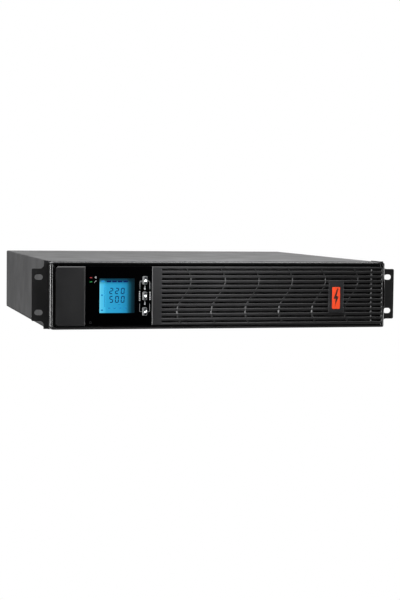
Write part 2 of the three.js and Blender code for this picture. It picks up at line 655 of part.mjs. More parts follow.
// Moulded frame round the inserts: a lip in front, thin walls behind, four latches at the back.
function panelFrame() {
  const shell = (half, y0, y1) =>
    slabY(roundedRectangle(-half, half, PANEL_BOTTOM, PANEL_TOP, PANEL_CORNER), y0, y1, 4);
  const body = join(shell(PANEL_HALF, BORDER_SETBACK, PANEL_SHOULDER),
    shell(HALF - GAP, PANEL_SHOULDER - 1, PANEL_DEPTH));
  const window = block(WINDOW.left, WINDOW.right, -1, BORDER_SETBACK + 3.5, WINDOW.bottom, WINDOW.top);
  const pocket = block(-HALF + PANEL_WALL, HALF - PANEL_WALL, BORDER_SETBACK + 3, PANEL_DEPTH + 1,
    PANEL_BOTTOM + PANEL_WALL, PANEL_TOP - PANEL_WALL);
  const grip = rodY(GRIP.reach - GRIP.radius, GRIP.z, GRIP.radius, -1, GRIP.floor, 96);
  const latches = [-1, 1].flatMap((side) => LATCHES.flatMap(([low, high]) => {
    const middle = side * (LATCH_X + HALF - 1) / 2;
    const reach = (HALF - 1 - LATCH_X) / 2 + 0.8;
    return [
      block(side * LATCH_X - 0.8, side * LATCH_X + 0.8, PANEL_DEPTH - 2, PANEL_DEPTH + 7, low, high),
      block(middle - reach, middle + reach, PANEL_DEPTH - 6, PANEL_DEPTH, low, high),
    ];
  }));
  return join(cut(body, window, pocket, grip), ...latches);
}

// Where a rib's centre line stands at height z.
function ribAt(index, z) {
  const { first, pitch, swing, wave, middle } = RIB;
  return first + index * pitch + swing * Math.sin((2 * Math.PI * (z - middle)) / wave);
}

// Louvred plate: rows of slots, broken by the S-shaped ribs and one straight rib.
function grillePanel() {
  const plate = rectangle(SEAM_GRILLE + 0.1, WINDOW.right - GAP, WINDOW.bottom + GAP, WINDOW.top - GAP);
  const openings = [];
  for (let row = 0; row < SLOT_ROWS; row++) {
    const z = SLOT_TOP_ROW - row * SLOT_PITCH;
    const [low, high] = [z - SLOT_HEIGHT / 2, z + SLOT_HEIGHT / 2];
    const ribs = Array.from({ length: RIB.count }, (_, i) => [ribAt(i, low), ribAt(i, high)]);
    const edges = [[SLOT_LEFT, SLOT_LEFT], ...ribs, [END_RIB, END_RIB], [SLOT_RIGHT, SLOT_RIGHT]];
    for (let i = 0; i + 1 < edges.length; i++) {
      const [near, far] = [edges[i], edges[i + 1]];
      const from = i === 0 ? 0 : RIB.width / 2;
      const to = i + 2 === edges.length ? 0 : RIB.width / 2;
      openings.push(outline([
        [near[0] + from, low], [far[0] - to, low], [far[1] - to, high], [near[1] + from, high],
      ]));
    }
  }
  return pierced(plate, 0, INSERT_THICK, openings);
}

const displayLeft = SEAM_BLANK + 0.2;
const displayRight = SEAM_GRILLE - 0.2;
const WINDOW_THICK = 1;

const keyOutline = (z, margin = 0) =>
  roundedRectangle(KEY.x - KEY.width / 2 - margin, KEY.x + KEY.width / 2 + margin,
    z - KEY.height / 2 - margin, z + KEY.height / 2 + margin, KEY.width / 2 - 0.6);

const displayFace = () => rectangle(displayLeft, displayRight, WINDOW.bottom + GAP, WINDOW.top - GAP);

// Openings for the keys and the lamps.
const displayOpenings = (margin) => [
  ...Object.values(KEY_HEIGHTS).map((z) => keyOutline(z, margin)),
  ...Object.values(LAMP_HEIGHTS).map((z) =>
    centred(LAMP.x, z, LAMP.width + 2 * margin, LAMP.height + 2 * margin)),
];

// Tub behind the window that holds the display and its board.
function displayHousing() {
  const [front, back] = [WINDOW_THICK + 0.2, 18];
  const wall = 1.6;
  const tub = slabY(displayFace(), front, back);
  const room = block(displayLeft + wall, displayRight - wall, front + wall, back + 1,
    WINDOW.bottom + GAP + wall, WINDOW.top - GAP - wall);
  const openings = [centred(LCD.x, LCD.z, LCD.width + 2, LCD.height + 2), ...displayOpenings(0.3)];
  return cut(tub, room, ...openings.map((opening) => slabY(opening, front - 1, front + 3, 2)));
}

place(frontPanel, 'panel_frame', panelFrame(), material.gloss);
place(frontPanel, 'plain_panel',
  block(WINDOW.left + GAP, SEAM_BLANK - 0.2, 0, INSERT_THICK, WINDOW.bottom + GAP, WINDOW.top - GAP),
  material.plastic);
place(frontPanel, 'grille_panel', grillePanel(), material.plastic);
place(frontPanel, 'dust_filter',
  block(SEAM_GRILLE + 3, HALF - PANEL_WALL - 0.6, INSERT_THICK + 3, INSERT_THICK + 8, 7, 79), material.foam);
place(frontPanel, 'badge_plate',
  block(BADGE.left, BADGE.right, -1.5, -GAP, BADGE.bottom, BADGE.top), material.badge);
place(frontPanel, 'display_housing', displayHousing(), material.gloss);
place(frontPanel, 'display_window',
  pierced(displayFace(), 0, WINDOW_THICK, displayOpenings(0.25), 2), material.gloss);
place(frontPanel, 'lcd_module',
  slabY(centred(LCD.x, LCD.z, LCD.width, LCD.height), WINDOW_THICK + GAP, DISPLAY_BOARD - GAP), material.lcd);
place(frontPanel, 'display_board',
  block(displayLeft + 2.2, displayRight - 2.2, DISPLAY_BOARD, DISPLAY_BOARD + BOARD_THICK, 8, 77),
  material.board);
for (const [label, z] of Object.entries(KEY_HEIGHTS))
  place(frontPanel, `key_${label}`, slabY(keyOutline(z), -KEY.proud, DISPLAY_BOARD - 1, 2), material.key);
for (const [label, z] of Object.entries(LAMP_HEIGHTS)) {
  const lens = slabY(centred(LAMP.x, z, LAMP.width, LAMP.height), -0.1, DISPLAY_BOARD - GAP);
  place(frontPanel, `lamp_${label}`, lens, label === 'alarm' ? material.red : material.green);
}

export default unit;
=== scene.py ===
"""Looks of a 2U rack-mount uninterruptible power supply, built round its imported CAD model."""
import math

import bmesh
import bpy
from mathutils import Matrix, Vector


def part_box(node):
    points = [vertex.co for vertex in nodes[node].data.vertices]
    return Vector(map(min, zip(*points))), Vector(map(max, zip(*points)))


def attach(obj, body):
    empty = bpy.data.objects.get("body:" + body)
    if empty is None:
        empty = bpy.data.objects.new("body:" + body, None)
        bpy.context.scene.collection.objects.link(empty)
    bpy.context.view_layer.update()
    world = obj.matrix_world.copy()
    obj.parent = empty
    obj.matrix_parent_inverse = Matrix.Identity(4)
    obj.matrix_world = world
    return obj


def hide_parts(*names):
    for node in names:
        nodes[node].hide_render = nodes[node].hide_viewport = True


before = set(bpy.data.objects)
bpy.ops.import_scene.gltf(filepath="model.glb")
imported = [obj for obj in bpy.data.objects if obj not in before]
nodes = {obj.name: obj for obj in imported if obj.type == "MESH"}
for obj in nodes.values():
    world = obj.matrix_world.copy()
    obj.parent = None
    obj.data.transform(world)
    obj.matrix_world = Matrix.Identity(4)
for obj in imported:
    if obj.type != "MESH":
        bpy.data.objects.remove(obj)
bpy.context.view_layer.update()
MM = 0.001


def corners_of(node):
    """Low and high corners of a CAD node's box, in millimetres."""
    low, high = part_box(node)
    return low / MM, high / MM


def middle_of(node):
    low, high = corners_of(node)
    return (low + high) / 2


# Boxes that the front is built from, read from the CAD.
plain_low, plain_high = corners_of("plain_panel")
grille_low, grille_high = corners_of("grille_panel")
panel_low, panel_high = corners_of("panel_frame")
window_low, window_high = corners_of("display_window")
lcd_low, lcd_high = corners_of("lcd_module")
badge_low, badge_high = corners_of("badge_plate")
key_low, key_high = corners_of("key_up")
FACE = plain_low.y  # plane of the inserts' faces


def front(depth):
    """The y of a plane that lies this far behind the front face."""
    return FACE + depth


# ---- Camera ----

LENS, SENSOR = 88.07, 36  # millimetres
CAMERA_PLACE = (-0.48414, -2.04937, 0.15122)  # metres
YAW, PITCH, ROLL = 14.1262, -3.488, 0.6592  # degrees to the right, upwards, and tilted to the left
FARTHEST = 50  # metres


def linked(name, data):
    """A new object in the scene."""
    obj = bpy.data.objects.new(name, data)
    bpy.context.scene.collection.objects.link(obj)
    return obj


def photo_camera():
    data = bpy.data.cameras.new("camera")
    data.sensor_width = SENSOR
    data.lens = LENS
    data.clip_end = FARTHEST
    camera = linked("camera", data)
    turn = Matrix.Rotation(math.radians(-YAW), 4, "Z")
    tilt = Matrix.Rotation(math.radians(90 + PITCH), 4, "X")
    roll = Matrix.Rotation(math.radians(ROLL), 4, "Z")
    camera.matrix_world = Matrix.Translation(CAMERA_PLACE) @ turn @ tilt @ roll
    return camera


bpy.context.scene.camera = photo_camera()


# ---- Materials ----

NOISE_LOW, NOISE_HIGH = 0.3, 0.7  # noise seldom leaves this range
MIX_FACTOR, MIX_FIRST, MIX_SECOND, MIX_COLOUR = 0, 6, 7, 2  # a Mix node's sockets for colours


def rgb(red, green, blue):
    """Display values of 0 to 255 as a linear colour."""
    return tuple(((c / 255 + 0.055) / 1.055) ** 2.4 if c > 10 else c / 255 / 12.92
                 for c in (red, green, blue)) + (1,)


def map_range(tree, value, start, end, low=0.0, high=1.0):
    """A value that goes from low to high as another goes from start to end."""
    node = tree.nodes.new("ShaderNodeMapRange")
    for socket, number in zip(("From Min", "From Max", "To Min", "To Max"), (start, end, low, high)):
        node.inputs[socket].default_value = number
    tree.links.new(value, node.inputs["Value"])
    return node


class Surface:
    """A material round one Principled shader, with helpers for its noise, tint and relief."""

    def __init__(self, name, colour, roughness, metallic=0.0, **sockets):
        self.material = bpy.data.materials.new(name)
        self.material.use_nodes = True
        self.tree = self.material.node_tree
        self.shader = self.tree.nodes["Principled BSDF"]
        self.colour = colour
        self.roughness = roughness
        self.shader.inputs["Base Color"].default_value = colour
        self.shader.inputs["Roughness"].default_value = roughness
        self.shader.inputs["Metallic"].default_value = metallic
        for socket, value in sockets.items():
            self.shader.inputs[socket.replace("_", " ")].default_value = value
        self.place = self.node("TexCoord").outputs["Object"]

    def node(self, kind):
        return self.tree.nodes.new("ShaderNode" + kind)

    def link(self, output, socket):
        self.tree.links.new(output, socket)

    def noise(self, size, detail=3.0, stretch=(1, 1, 1)):
        """Noise whose grains are about size millimetres across."""
        mapping = self.node("Mapping")
        mapping.inputs["Scale"].default_value = stretch
        self.link(self.place, mapping.inputs["Vector"])
        node = self.node("TexNoise")
        node.inputs["Scale"].default_value = 1 / (size * MM)
        node.inputs["Detail"].default_value = detail
        self.link(mapping.outputs["Vector"], node.inputs["Vector"])
        return node.outputs["Fac"]

    def spread(self, factor, low, high):
        """Noise stretched over a range of values."""
        return map_range(self.tree, factor, NOISE_LOW, NOISE_HIGH, low, high).outputs["Result"]

    def bump(self, factor, height, strength):
        """Relief of this height in millimetres, on top of any other."""
        node = self.node("Bump")
        node.inputs["Distance"].default_value = height * MM
        node.inputs["Strength"].default_value = strength
        self.link(factor, node.inputs["Height"])
        previous = self.shader.inputs["Normal"].links
        if previous:
            self.link(previous[0].from_socket, node.inputs["Normal"])
        self.link(node.outputs["Normal"], self.shader.inputs["Normal"])
        return self

    def rough(self, factor, swing):
        """Roughness that wanders by swing to either side."""
        result = self.spread(factor, max(self.roughness - swing, 0.02), self.roughness + swing)
        self.link(result, self.shader.inputs["Roughness"])
        return self

    def tint(self, factor, other):
        """The colour wanders between the base colour and another one."""
        node = self.node("Mix")
        node.data_type = "RGBA"
        node.inputs[MIX_FIRST].default_value = self.colour
        node.inputs[MIX_SECOND].default_value = other
        self.link(self.spread(factor, 0, 1), node.inputs[MIX_FACTOR])
        self.link(node.outputs[MIX_COLOUR], self.shader.inputs["Base Color"])
        return self


def painted(name, colour, roughness, grain, height):
    """Powder coat: an orange-peel relief and slow changes of gloss."""
    s = Surface(name, colour, roughness)
    s.bump(s.noise(grain, 2), height, 0.6)
    s.rough(s.noise(40, 3), 0.05)
    s.tint(s.noise(70, 2), tuple(c * 1.35 for c in colour[:3]) + (1,))
    return s.material


def moulded(name, colour, roughness, grain=0.35, height=0.004, swing=0.05, **sockets):
    """Moulded plastic: a fine spark-eroded grain and faint flow marks."""
    s = Surface(name, colour, roughness, **sockets)
    s.bump(s.noise(grain, 2), height, 0.5)
    s.rough(s.noise(18, 4), swing)
    s.tint(s.noise(35, 3), tuple(c * 1.25 for c in colour[:3]) + (1,))
    return s.material


def metal(name, colour, roughness, stretch=(1, 1, 1), grain=0.4):
    """Bare or plated metal with fine lines along one direction."""
    s = Surface(name, colour, roughness, 1.0)
    lines = s.noise(grain, 4, stretch)
    s.bump(lines, 0.004, 0.5)
    s.rough(lines, 0.07)
    s.tint(s.noise(9, 4), tuple(c * 0.82 for c in colour[:3]) + (1,))
    return s.material


def glowing(name, colour, strength, roughness=0.15):
    """A lens that shines with its own colour, or a print given a painted glow."""
    s = Surface(name, colour, roughness)
    s.shader.inputs["Emission Color"].default_value = colour
    s.shader.inputs["Emission Strength"].default_value = strength
    s.rough(s.noise(2, 2), 0.03)
    return s.material


def ramp_of(tree, factor, stops):
    """A colour ramp with a list of (position, linear colour) stops."""
    node = tree.nodes.new("ShaderNodeValToRGB")
    while len(node.color_ramp.elements) < len(stops):
        node.color_ramp.elements.new(0.5)
    for element, (position, colour) in zip(node.color_ramp.elements, stops):
        element.position = position
        element.color = colour
    tree.links.new(factor, node.inputs["Fac"])
    return node.outputs["Color"]


LCD_TOP_SHADOW = 12.5  # height of the shadow painted into the LCD's light below its top edge


def lcd_light_and_painted_shade():
    """Backlit blue LCD, brightest at its left, with painted shade: dark along its top and right edges, where
    the recessed screen lies in shade behind its window.
    """
    s = Surface("lcd_backlight_and_painted_shade", rgb(2, 8, 12), 0.15, Specular_IOR_Level=0.1)
    split = s.node("SeparateXYZ")
    s.link(s.place, split.inputs["Vector"])

    def measured(axis, start, end):
        return map_range(s.tree, split.outputs[axis], start * MM, end * MM).outputs["Result"]

    # Across the screen: the backlight's colour, brightest at the left, then painted shade that darkens the
    # right edge nearly to black.
    across = ramp_of(s.tree, measured("X", lcd_low.x, lcd_high.x), [
        (0.0, rgb(120, 214, 240)), (0.03, rgb(92, 206, 244)), (0.14, rgb(70, 192, 236)),
        (0.2, rgb(50, 168, 216)), (0.6, rgb(42, 156, 206)), (0.76, rgb(34, 138, 184)),
        (0.84, rgb(18, 84, 106)), (0.92, rgb(6, 34, 44)), (1.0, rgb(1, 5, 8))])
    # Down from the top edge: a painted shadow, darkest at the edge and gone 12.5 mm below it.
    grey = [(0.0, 0.06), (0.1, 0.1), (0.2, 0.17), (0.28, 0.25), (0.4, 0.62), (0.6, 0.93), (0.8, 1.0)]
    down = ramp_of(s.tree, measured("Z", lcd_high.z, lcd_high.z - LCD_TOP_SHADOW),
                   [(position, (g, g, g, 1)) for position, g in grey])
    product = s.node("Mix")
    product.data_type = "RGBA"
    product.blend_type = "MULTIPLY"
    product.inputs[MIX_FACTOR].default_value = 1.0
    s.link(across, product.inputs[MIX_FIRST])
    s.link(down, product.inputs[MIX_SECOND])
    s.link(product.outputs[MIX_COLOUR], s.shader.inputs["Emission Color"])
    s.shader.inputs["Emission Strength"].default_value = 0.93
    s.bump(s.noise(0.25, 1, (1, 0.01, 1)), 0.001, 0.3)
    return s.material


def board_green():
    """Solder mask with the faint pattern of tracks under it."""
    s = Surface("solder_mask", (0.012, 0.085, 0.035, 1), 0.35, Coat_Weight=0.4)
    tracks = s.node("TexBrick")
    tracks.inputs["Scale"].default_value = 140
    tracks.inputs["Mortar Size"].default_value = 0.05
    tracks.inputs["Color1"].default_value = (0.012, 0.085, 0.035, 1)
    tracks.inputs["Color2"].default_value = (0.02, 0.12, 0.05, 1)
    tracks.inputs["Mortar"].default_value = (0.03, 0.2, 0.08, 1)
    s.link(s.place, tracks.inputs["Vector"])
    s.link(tracks.outputs["Color"], s.shader.inputs["Base Color"])
    s.bump(tracks.outputs["Fac"], 0.03, 0.4)
    return s.material


def foam_black():
    s = Surface("filter_foam", (0.006, 0.006, 0.006, 1), 0.95)
    cells = s.node("TexVoronoi")
    cells.inputs["Scale"].default_value = 900
    s.link(s.place, cells.inputs["Vector"])
    s.bump(cells.outputs["Distance"], 0.5, 1.0)
    s.tint(s.noise(1.5, 2), (0.02, 0.02, 0.02, 1))
    return s.material


sheet_black = painted("powder_coat_black", (0.016, 0.016, 0.017, 1), 0.48, 0.7, 0.03)
ear_black = painted("ear_powder_coat", (0.0028, 0.0028, 0.003, 1), 0.45, 0.6, 0.02)
grille_black = moulded("satin_black_plastic", (0.0045, 0.0045, 0.0047, 1), 0.36, swing=0.04)
frame_black = moulded("gloss_black_plastic", (0.002, 0.002, 0.0021, 1), 0.15, 0.5, 0.0003, 0.02)
window_black = moulded("polished_black_acrylic", (0.0001, 0.0001, 0.00013, 1), 0.05, 0.6, 0.0004, 0.02,
                       Specular_IOR_Level=0.03)
badge_black = moulded("badge_black", (0.007, 0.007, 0.0075, 1), 0.35)
print_white = moulded("printed_white", (0.08, 0.082, 0.084, 1), 0.5)
badge_orange = moulded("badge_orange", rgb(158, 46, 18), 0.4)
segment_ink = moulded("lcd_segment", rgb(1, 9, 34), 0.3, 0.2, 0.0005, Specular_IOR_Level=0.1)
segment_faint = moulded("lcd_faint_mark", rgb(8, 62, 96), 0.3, 0.2, 0.0005, Specular_IOR_Level=0.1)
lcd_blue = lcd_light_and_painted_shade()
lens_red = glowing("red_lens", rgb(84, 24, 27), 0.3)
lens_green = glowing("green_lens", rgb(20, 70, 34), 0.4)
key_grey = moulded("key_cap_grey", (0.024, 0.025, 0.026, 1), 0.35, 0.4, 0.002)
key_black = moulded("key_label_black", (0.0025, 0.0026, 0.0028, 1), 0.3, 0.4, 0.002)
# The keys' white symbols get a painted glow, so the print reads bright.
print_painted_glow = glowing("symbol_painted_glow", rgb(236, 240, 242), 0.7, 0.4)
zinc = metal("zinc_plate", (0.55, 0.57, 0.58, 1), 0.32, (1, 1, 6))
steel_wire = metal("nickel_wire", (0.62, 0.62, 0.6, 1), 0.22)
port_metal = metal("nickel_shell", (0.6, 0.6, 0.58, 1), 0.28, (6, 1, 1))
alloy = metal("extruded_aluminium", (0.6, 0.61, 0.62, 1), 0.34, (6, 0.1, 6))
copper = metal("enamelled_copper", (0.55, 0.2, 0.07, 1), 0.3, (1, 1, 1), 1.2)
fan_black = moulded("fan_plastic", (0.012, 0.012, 0.0125, 1), 0.4)
socket_black = moulded("socket_plastic", (0.012, 0.012, 0.0125, 1), 0.45)
grey_plastic = moulded("connector_grey", (0.11, 0.115, 0.12, 1), 0.5)
ivory = moulded("cap_grey", (0.42, 0.42, 0.4, 1), 0.45)
sleeve_blue = moulded("capacitor_sleeve", (0.012, 0.022, 0.07, 1), 0.25, 1.5, 0.01)
battery_grey = moulded("battery_case", (0.028, 0.029, 0.032, 1), 0.5, 0.5, 0.01)
solder_mask = board_green()
foam = foam_black()


# ---- Building blocks ----

SHARP = math.radians(32)  # edges between flatter faces than this are smooth
BEVEL_FROM = math.radians(35)
FLAT_WEIGHT = 80  # how far large faces outweigh small ones in the normals, in percent


def finish_piece(obj, body, material, replaced=None):
    """A new piece's material, body and slot, and the CAD node that it stands for."""
    obj.data.materials.append(material)
    flatten_normals(obj)
    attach(obj, body)
    if replaced:
        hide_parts(replaced)
    return obj


def flatten_normals(obj):
    """Large faces keep their own normals, and the rounding between them takes up the turn."""
    normals = obj.modifiers.new("normals", "WEIGHTED_NORMAL")
    normals.keep_sharp = True
    normals.weight = FLAT_WEIGHT


def mesh_object(name, bm, smooth=True):
    bmesh.ops.remove_doubles(bm, verts=bm.verts, dist=1e-7)
    bmesh.ops.recalc_face_normals(bm, faces=bm.faces)
    mesh = bpy.data.meshes.new(name)
    bm.to_mesh(mesh)
    bm.free()
    if smooth:
        mesh.shade_smooth()
        mesh.set_sharp_from_angle(angle=SHARP)
    return linked(name, mesh)


def bevelled(obj, width):
    """Small rounded edges on a CAD node, as modifiers."""
    weld = obj.modifiers.new("weld", "WELD")
    weld.merge_threshold = 1e-6
    edge = obj.modifiers.new("edge", "BEVEL")
    edge.width = width * MM
    edge.segments = 2
    edge.limit_method = "ANGLE"
    edge.angle_limit = BEVEL_FROM
    edge.use_clamp_overlap = True
    edge.harden_normals = True
    obj.data.shade_smooth()
    flatten_normals(obj)


def plate(name, outlines, y0, y1, bevel, segments=2):
    """A slab between two depths. The first outline in x and z is its edge, the others are holes."""
    curve = bpy.data.curves.new(name, "CURVE")
    curve.dimensions = "2D"
    curve.fill_mode = "BOTH"
    curve.extrude = max((y1 - y0) / 2 - bevel, 0) * MM
    curve.bevel_depth = bevel * MM
    curve.bevel_resolution = segments
    curve.offset = -bevel * MM
    for outline in outlines:
        spline = curve.splines.new("POLY")
        spline.points.add(len(outline) - 1)
        for point, (x, z) in zip(spline.points, outline):
            point.co = (x * MM, z * MM, 0, 1)
        spline.use_cyclic_u = True
    source = linked(name + "_outline", curve)
    evaluated = source.evaluated_get(bpy.context.evaluated_depsgraph_get())
    mesh = bpy.data.meshes.new_from_object(evaluated)
    bpy.data.objects.remove(source)
    bm = bmesh.new()
    bm.from_mesh(mesh)
    turn = Matrix(((1, 0, 0, 0), (0, 0, -1, (y0 + y1) / 2 * MM), (0, 1, 0, 0), (0, 0, 0, 1)))
    bmesh.ops.transform(bm, matrix=turn, verts=bm.verts)
    return mesh_object(name, bm)


def arc(cx, cz, radius, start, end, steps):
    """Points of an arc from one angle to another, in degrees."""
    angles = [math.radians(start + (end - start) * i / steps) for i in range(steps + 1)]
    return [(cx + radius * math.cos(a), cz + radius * math.sin(a)) for a in angles]


def rect(x0, x1, z0, z1, radius=0.0, steps=5):
    """A rectangle, with rounded corners where radius is above 0, anticlockwise."""
    if radius <= 0:
        return [(x0, z0), (x1, z0), (x1, z1), (x0, z1)]
    left, right, low, high = x0 + radius, x1 - radius, z0 + radius, z1 - radius
    centres = ((right, low, -90), (right, high, 0), (left, high, 90), (left, low, 180))
    return [point for cx, cz, start in centres for point in arc(cx, cz, radius, start, start + 90, steps)]


def spokes(side, other, sides):
    """Unit vectors evenly all round, in the plane of side and other."""
    angles = [2 * math.pi * k / sides for k in range(sides)]
    return [math.cos(a) * side + math.sin(a) * other for a in angles]


def round_skin(bm, rings, sides):
    """Faces between rings of vertices, where a ring may be one vertex on the axis."""
    for a, b in zip(rings, rings[1:]):
        for j in range(sides):
            k = (j + 1) % sides
            corners = [a[j % len(a)], a[k % len(a)], b[k % len(b)], b[j % len(b)]]
            unique = [v for i, v in enumerate(corners) if v not in corners[:i]]
            if len(unique) > 2:
                bm.faces.new(unique)


def join_objects(name, objects):
    """One mesh from several, each with its own vertices."""
    bm = bmesh.new()
    for obj in objects:
        bm.from_mesh(obj.data)
        bpy.data.objects.remove(obj)
    mesh = bpy.data.meshes.new(name)
    bm.to_mesh(mesh)
    bm.free()
    mesh.set_sharp_from_angle(angle=SHARP)
    return linked(name, mesh)


def swept(name, sections, closed=False):
    """A skin over a row of equal closed sections in millimetres, with end caps or joined end to end."""
    bm = bmesh.new()
    rings = [[bm.verts.new(Vector(p) * MM) for p in section] for section in sections]
    count, span = len(rings), len(rings[0])
    for i in range(count if closed else count - 1):
        a, b = rings[i], rings[(i + 1) % count]
        for j in range(span):
            k = (j + 1) % span
            bm.faces.new((a[j], a[k], b[k], b[j]))
    if not closed:
        bm.faces.new(rings[0])
        bm.faces.new(list(reversed(rings[-1])))
    return mesh_object(name, bm)


def tube(name, points, radius, closed=False, sides=8):
    """Round wire through a list of points, in millimetres."""
    points = [Vector(p) for p in points]
    sections = []
    count = len(points)
    for i, p in enumerate(points):
        before = points[(i - 1) % count] if closed or i else p
        after = points[(i + 1) % count] if closed or i < count - 1 else p
        along = (after - before).normalized()
        side = along.cross(Vector((0, 1, 0)))
        side = side.normalized() if side.length > 1e-3 else Vector((1, 0, 0))
        other = along.cross(side).normalized()
        sections.append([p + radius * spoke for spoke in spokes(side, other, sides)])
    return swept(name, sections, closed)


def lathe(name, profile, origin, sides):
    """A turned piece: (radius, distance) pairs round an axis that runs from origin to the rear."""
    directions = spokes(Vector((-1, 0, 0)), Vector((0, 0, 1)), sides)
    bm = bmesh.new()
    rings = []
    for radius, distance in profile:
        centre = Vector(origin) + Vector((0, distance, 0))
        rings.append([bm.verts.new((centre + radius * spoke) * MM)
                      for spoke in (directions if radius else [Vector()])])
    round_skin(bm, rings, sides)
    return mesh_object(name, bm)


# ---- Front panel frame ----

LIP = 1.6  # depth of the frame's front behind the inserts' faces
SHOULDER, BACK = 18.6, 22.0  # behind the shoulder the panel passes between the ears
HALF_STEP = 2.5  # how much narrower the panel is behind its shoulder, on each side
INSERT_GAP = 0.3
WINDOW = {"left": plain_low.x - INSERT_GAP, "right": grille_high.x + INSERT_GAP,
          "bottom": plain_low.z - INSERT_GAP, "top": plain_high.z + INSERT_GAP}
# A finger scoop in the right border: an arc round z that reaches this x, and sinks the border's front.
SCOOP = {"radius": 90.0, "reach": 222.6, "z": 42.0, "sink": 1.3, "depth": 4.0, "most": 0.96}
CORNER, CORNER_SHRINK, LEAST_CORNER = 4.5, 0.8, 0.9
LEFT_EXTRA = 1.6  # the two left corners are rounder by this
FIRST_ROUND, LAST_ROUND = 4, 13  # the profile's stretch that rounds the outer edge
LATCH_X, TONGUE, BRIDGE = 213.2, 1.6, 5.8
LATCH_HEIGHTS = ((20, 32), (54, 66))


def quarter(inset, depth, width, drop, steps=9):
    """Quarter of an ellipse from a side wall, at inset, round to the front, drop nearer the viewer."""
    return [(inset + width * (1 - math.cos(a)), depth - drop * math.sin(a))
            for a in (math.radians(90 * i / steps) for i in range(steps + 1))]


def inner_edge(inset, depth, radius, steps=3):
    """Quarter round from the front, at inset, down towards the opening."""
    return [(inset + radius * math.sin(a), depth + radius * (1 - math.cos(a)))
            for a in (math.radians(90 * i / steps) for i in range(steps + 1))]


def border_profiles():
    """For each side, as many (inset from the outer edge, depth) points from the back to the opening."""
    gap_left = WINDOW["left"] - panel_low.x
    gap_right = panel_high.x - WINDOW["right"]
    gap_bottom = WINDOW["bottom"] - panel_low.z
    gap_top = panel_high.z - WINDOW["top"]
    stepped = [(HALF_STEP + 2, BACK), (HALF_STEP, BACK), (HALF_STEP, SHOULDER), (0, SHOULDER)]
    straight = [(2.2, BACK), (0, BACK), (0, SHOULDER), (0, SHOULDER - 0.5)]
    return {
        "left": stepped + quarter(0.7, 5.0, 3.0, 3.1, 4) + quarter(3.8, 2.3, 1.1, 1.1, 4)
        + inner_edge(5.0, 1.2, 0.8) + [(5.9, 4.2), (gap_left, 4.3), (gap_left, 6.8)],
        "right": stepped + quarter(0, LIP + 3.0, 3.0, 3.0) + inner_edge(3.05, LIP, 0.3)
        + [(gap_right, 4.2), (gap_right + 0.05, 4.3), (gap_right + 0.1, 6.8)],
        "bottom": straight + quarter(0, LIP + 1.8, 1.8, 1.8) + inner_edge(2.7, LIP, 0.15)
        + [(3.1, 5.5), (gap_bottom, 5.6), (gap_bottom + 0.05, 6.8)],
        "top": straight + quarter(0, LIP + 0.7, 0.8, 0.7) + inner_edge(1.7, LIP, 0.3)
        + [(2.1, 9.0), (gap_top, 9.1), (gap_top + 0.05, 9.4)],
    }


def scoop_at(z):
    """0 where the finger scoop hasn't begun, towards 1 where it has eaten the whole right border."""
    reach = SCOOP["reach"] - (z - SCOOP["z"]) ** 2 / (2 * SCOOP["radius"])
    return min(max((reach - WINDOW["right"]) / (panel_high.x - WINDOW["right"]), 0.0), SCOOP["most"])


def corner_arc(cx, cz, radius, start, y0, y1, steps=8):
    """Quarter circle round a corner, while the depth goes over from one side's to the next one's."""
    depths = [y0 + (y1 - y0) * (1 - math.cos(math.pi * i / steps)) / 2 for i in range(steps + 1)]
    points = arc(cx, cz, radius, start, start + 90, steps)
    return [(x, y, z) for (x, z), y in zip(points, depths)]


def frame_ring(index, profiles, along=44):
    """One closed line round the frame: the profiles' points at this index, joined through the corners."""
    (left_in, left_y), (right_in, right_y) = profiles["left"][index], profiles["right"][index]
    (low_in, low_y), (top_in, top_y) = profiles["bottom"][index], profiles["top"][index]
    x0, x1 = panel_low.x + left_in, panel_high.x - right_in
    z0, z1 = panel_low.z + low_in, panel_high.z - top_in
    radius = max(CORNER - CORNER_SHRINK * max(left_in, top_in), LEAST_CORNER)
    wide = radius + LEFT_EXTRA
    arcs = [corner_arc(x1 - radius, z0 + radius, radius, -90, low_y, right_y),
            corner_arc(x1 - radius, z1 - radius, radius, 0, right_y, top_y),
            corner_arc(x0 + wide, z1 - wide, wide, 90, top_y, left_y),
            corner_arc(x0 + wide, z0 + wide, wide, 180, left_y, low_y)]
    points = []
    for side in range(4):
        (ax, ay, az), (bx, by, bz) = arcs[side][-1], arcs[(side + 1) % 4][0]
        points += [(x, front(y), z) for x, y, z in arcs[side]]
        for i in range(1, along):
            t = i / along
            x, y, z = ax + (bx - ax) * t, ay + (by - ay) * t, az + (bz - az) * t
            if side == 0 and index >= FIRST_ROUND:
                bite = scoop_at(z)
                if index <= LAST_ROUND:
                    x = panel_high.x - right_in * (1 - bite)
                    y += bite * (SCOOP["sink"] - (right_y - LIP))
                elif right_y < SCOOP["depth"]:
                    y += bite * SCOOP["sink"]
            points.append((x, front(y), z))
    return points


def slab(x0, x1, y0, y1, z0, z1):
    bm = bmesh.new()
    bmesh.ops.create_cube(bm, size=1)
    middle = Vector(((x0 + x1) / 2, (y0 + y1) / 2, (z0 + z1) / 2)) * MM
    scale = Matrix.Diagonal(((x1 - x0) * MM, (y1 - y0) * MM, (z1 - z0) * MM, 1))
    bmesh.ops.transform(bm, verts=bm.verts, matrix=Matrix.Translation(middle) @ scale)
    return mesh_object("slab", bm, False)


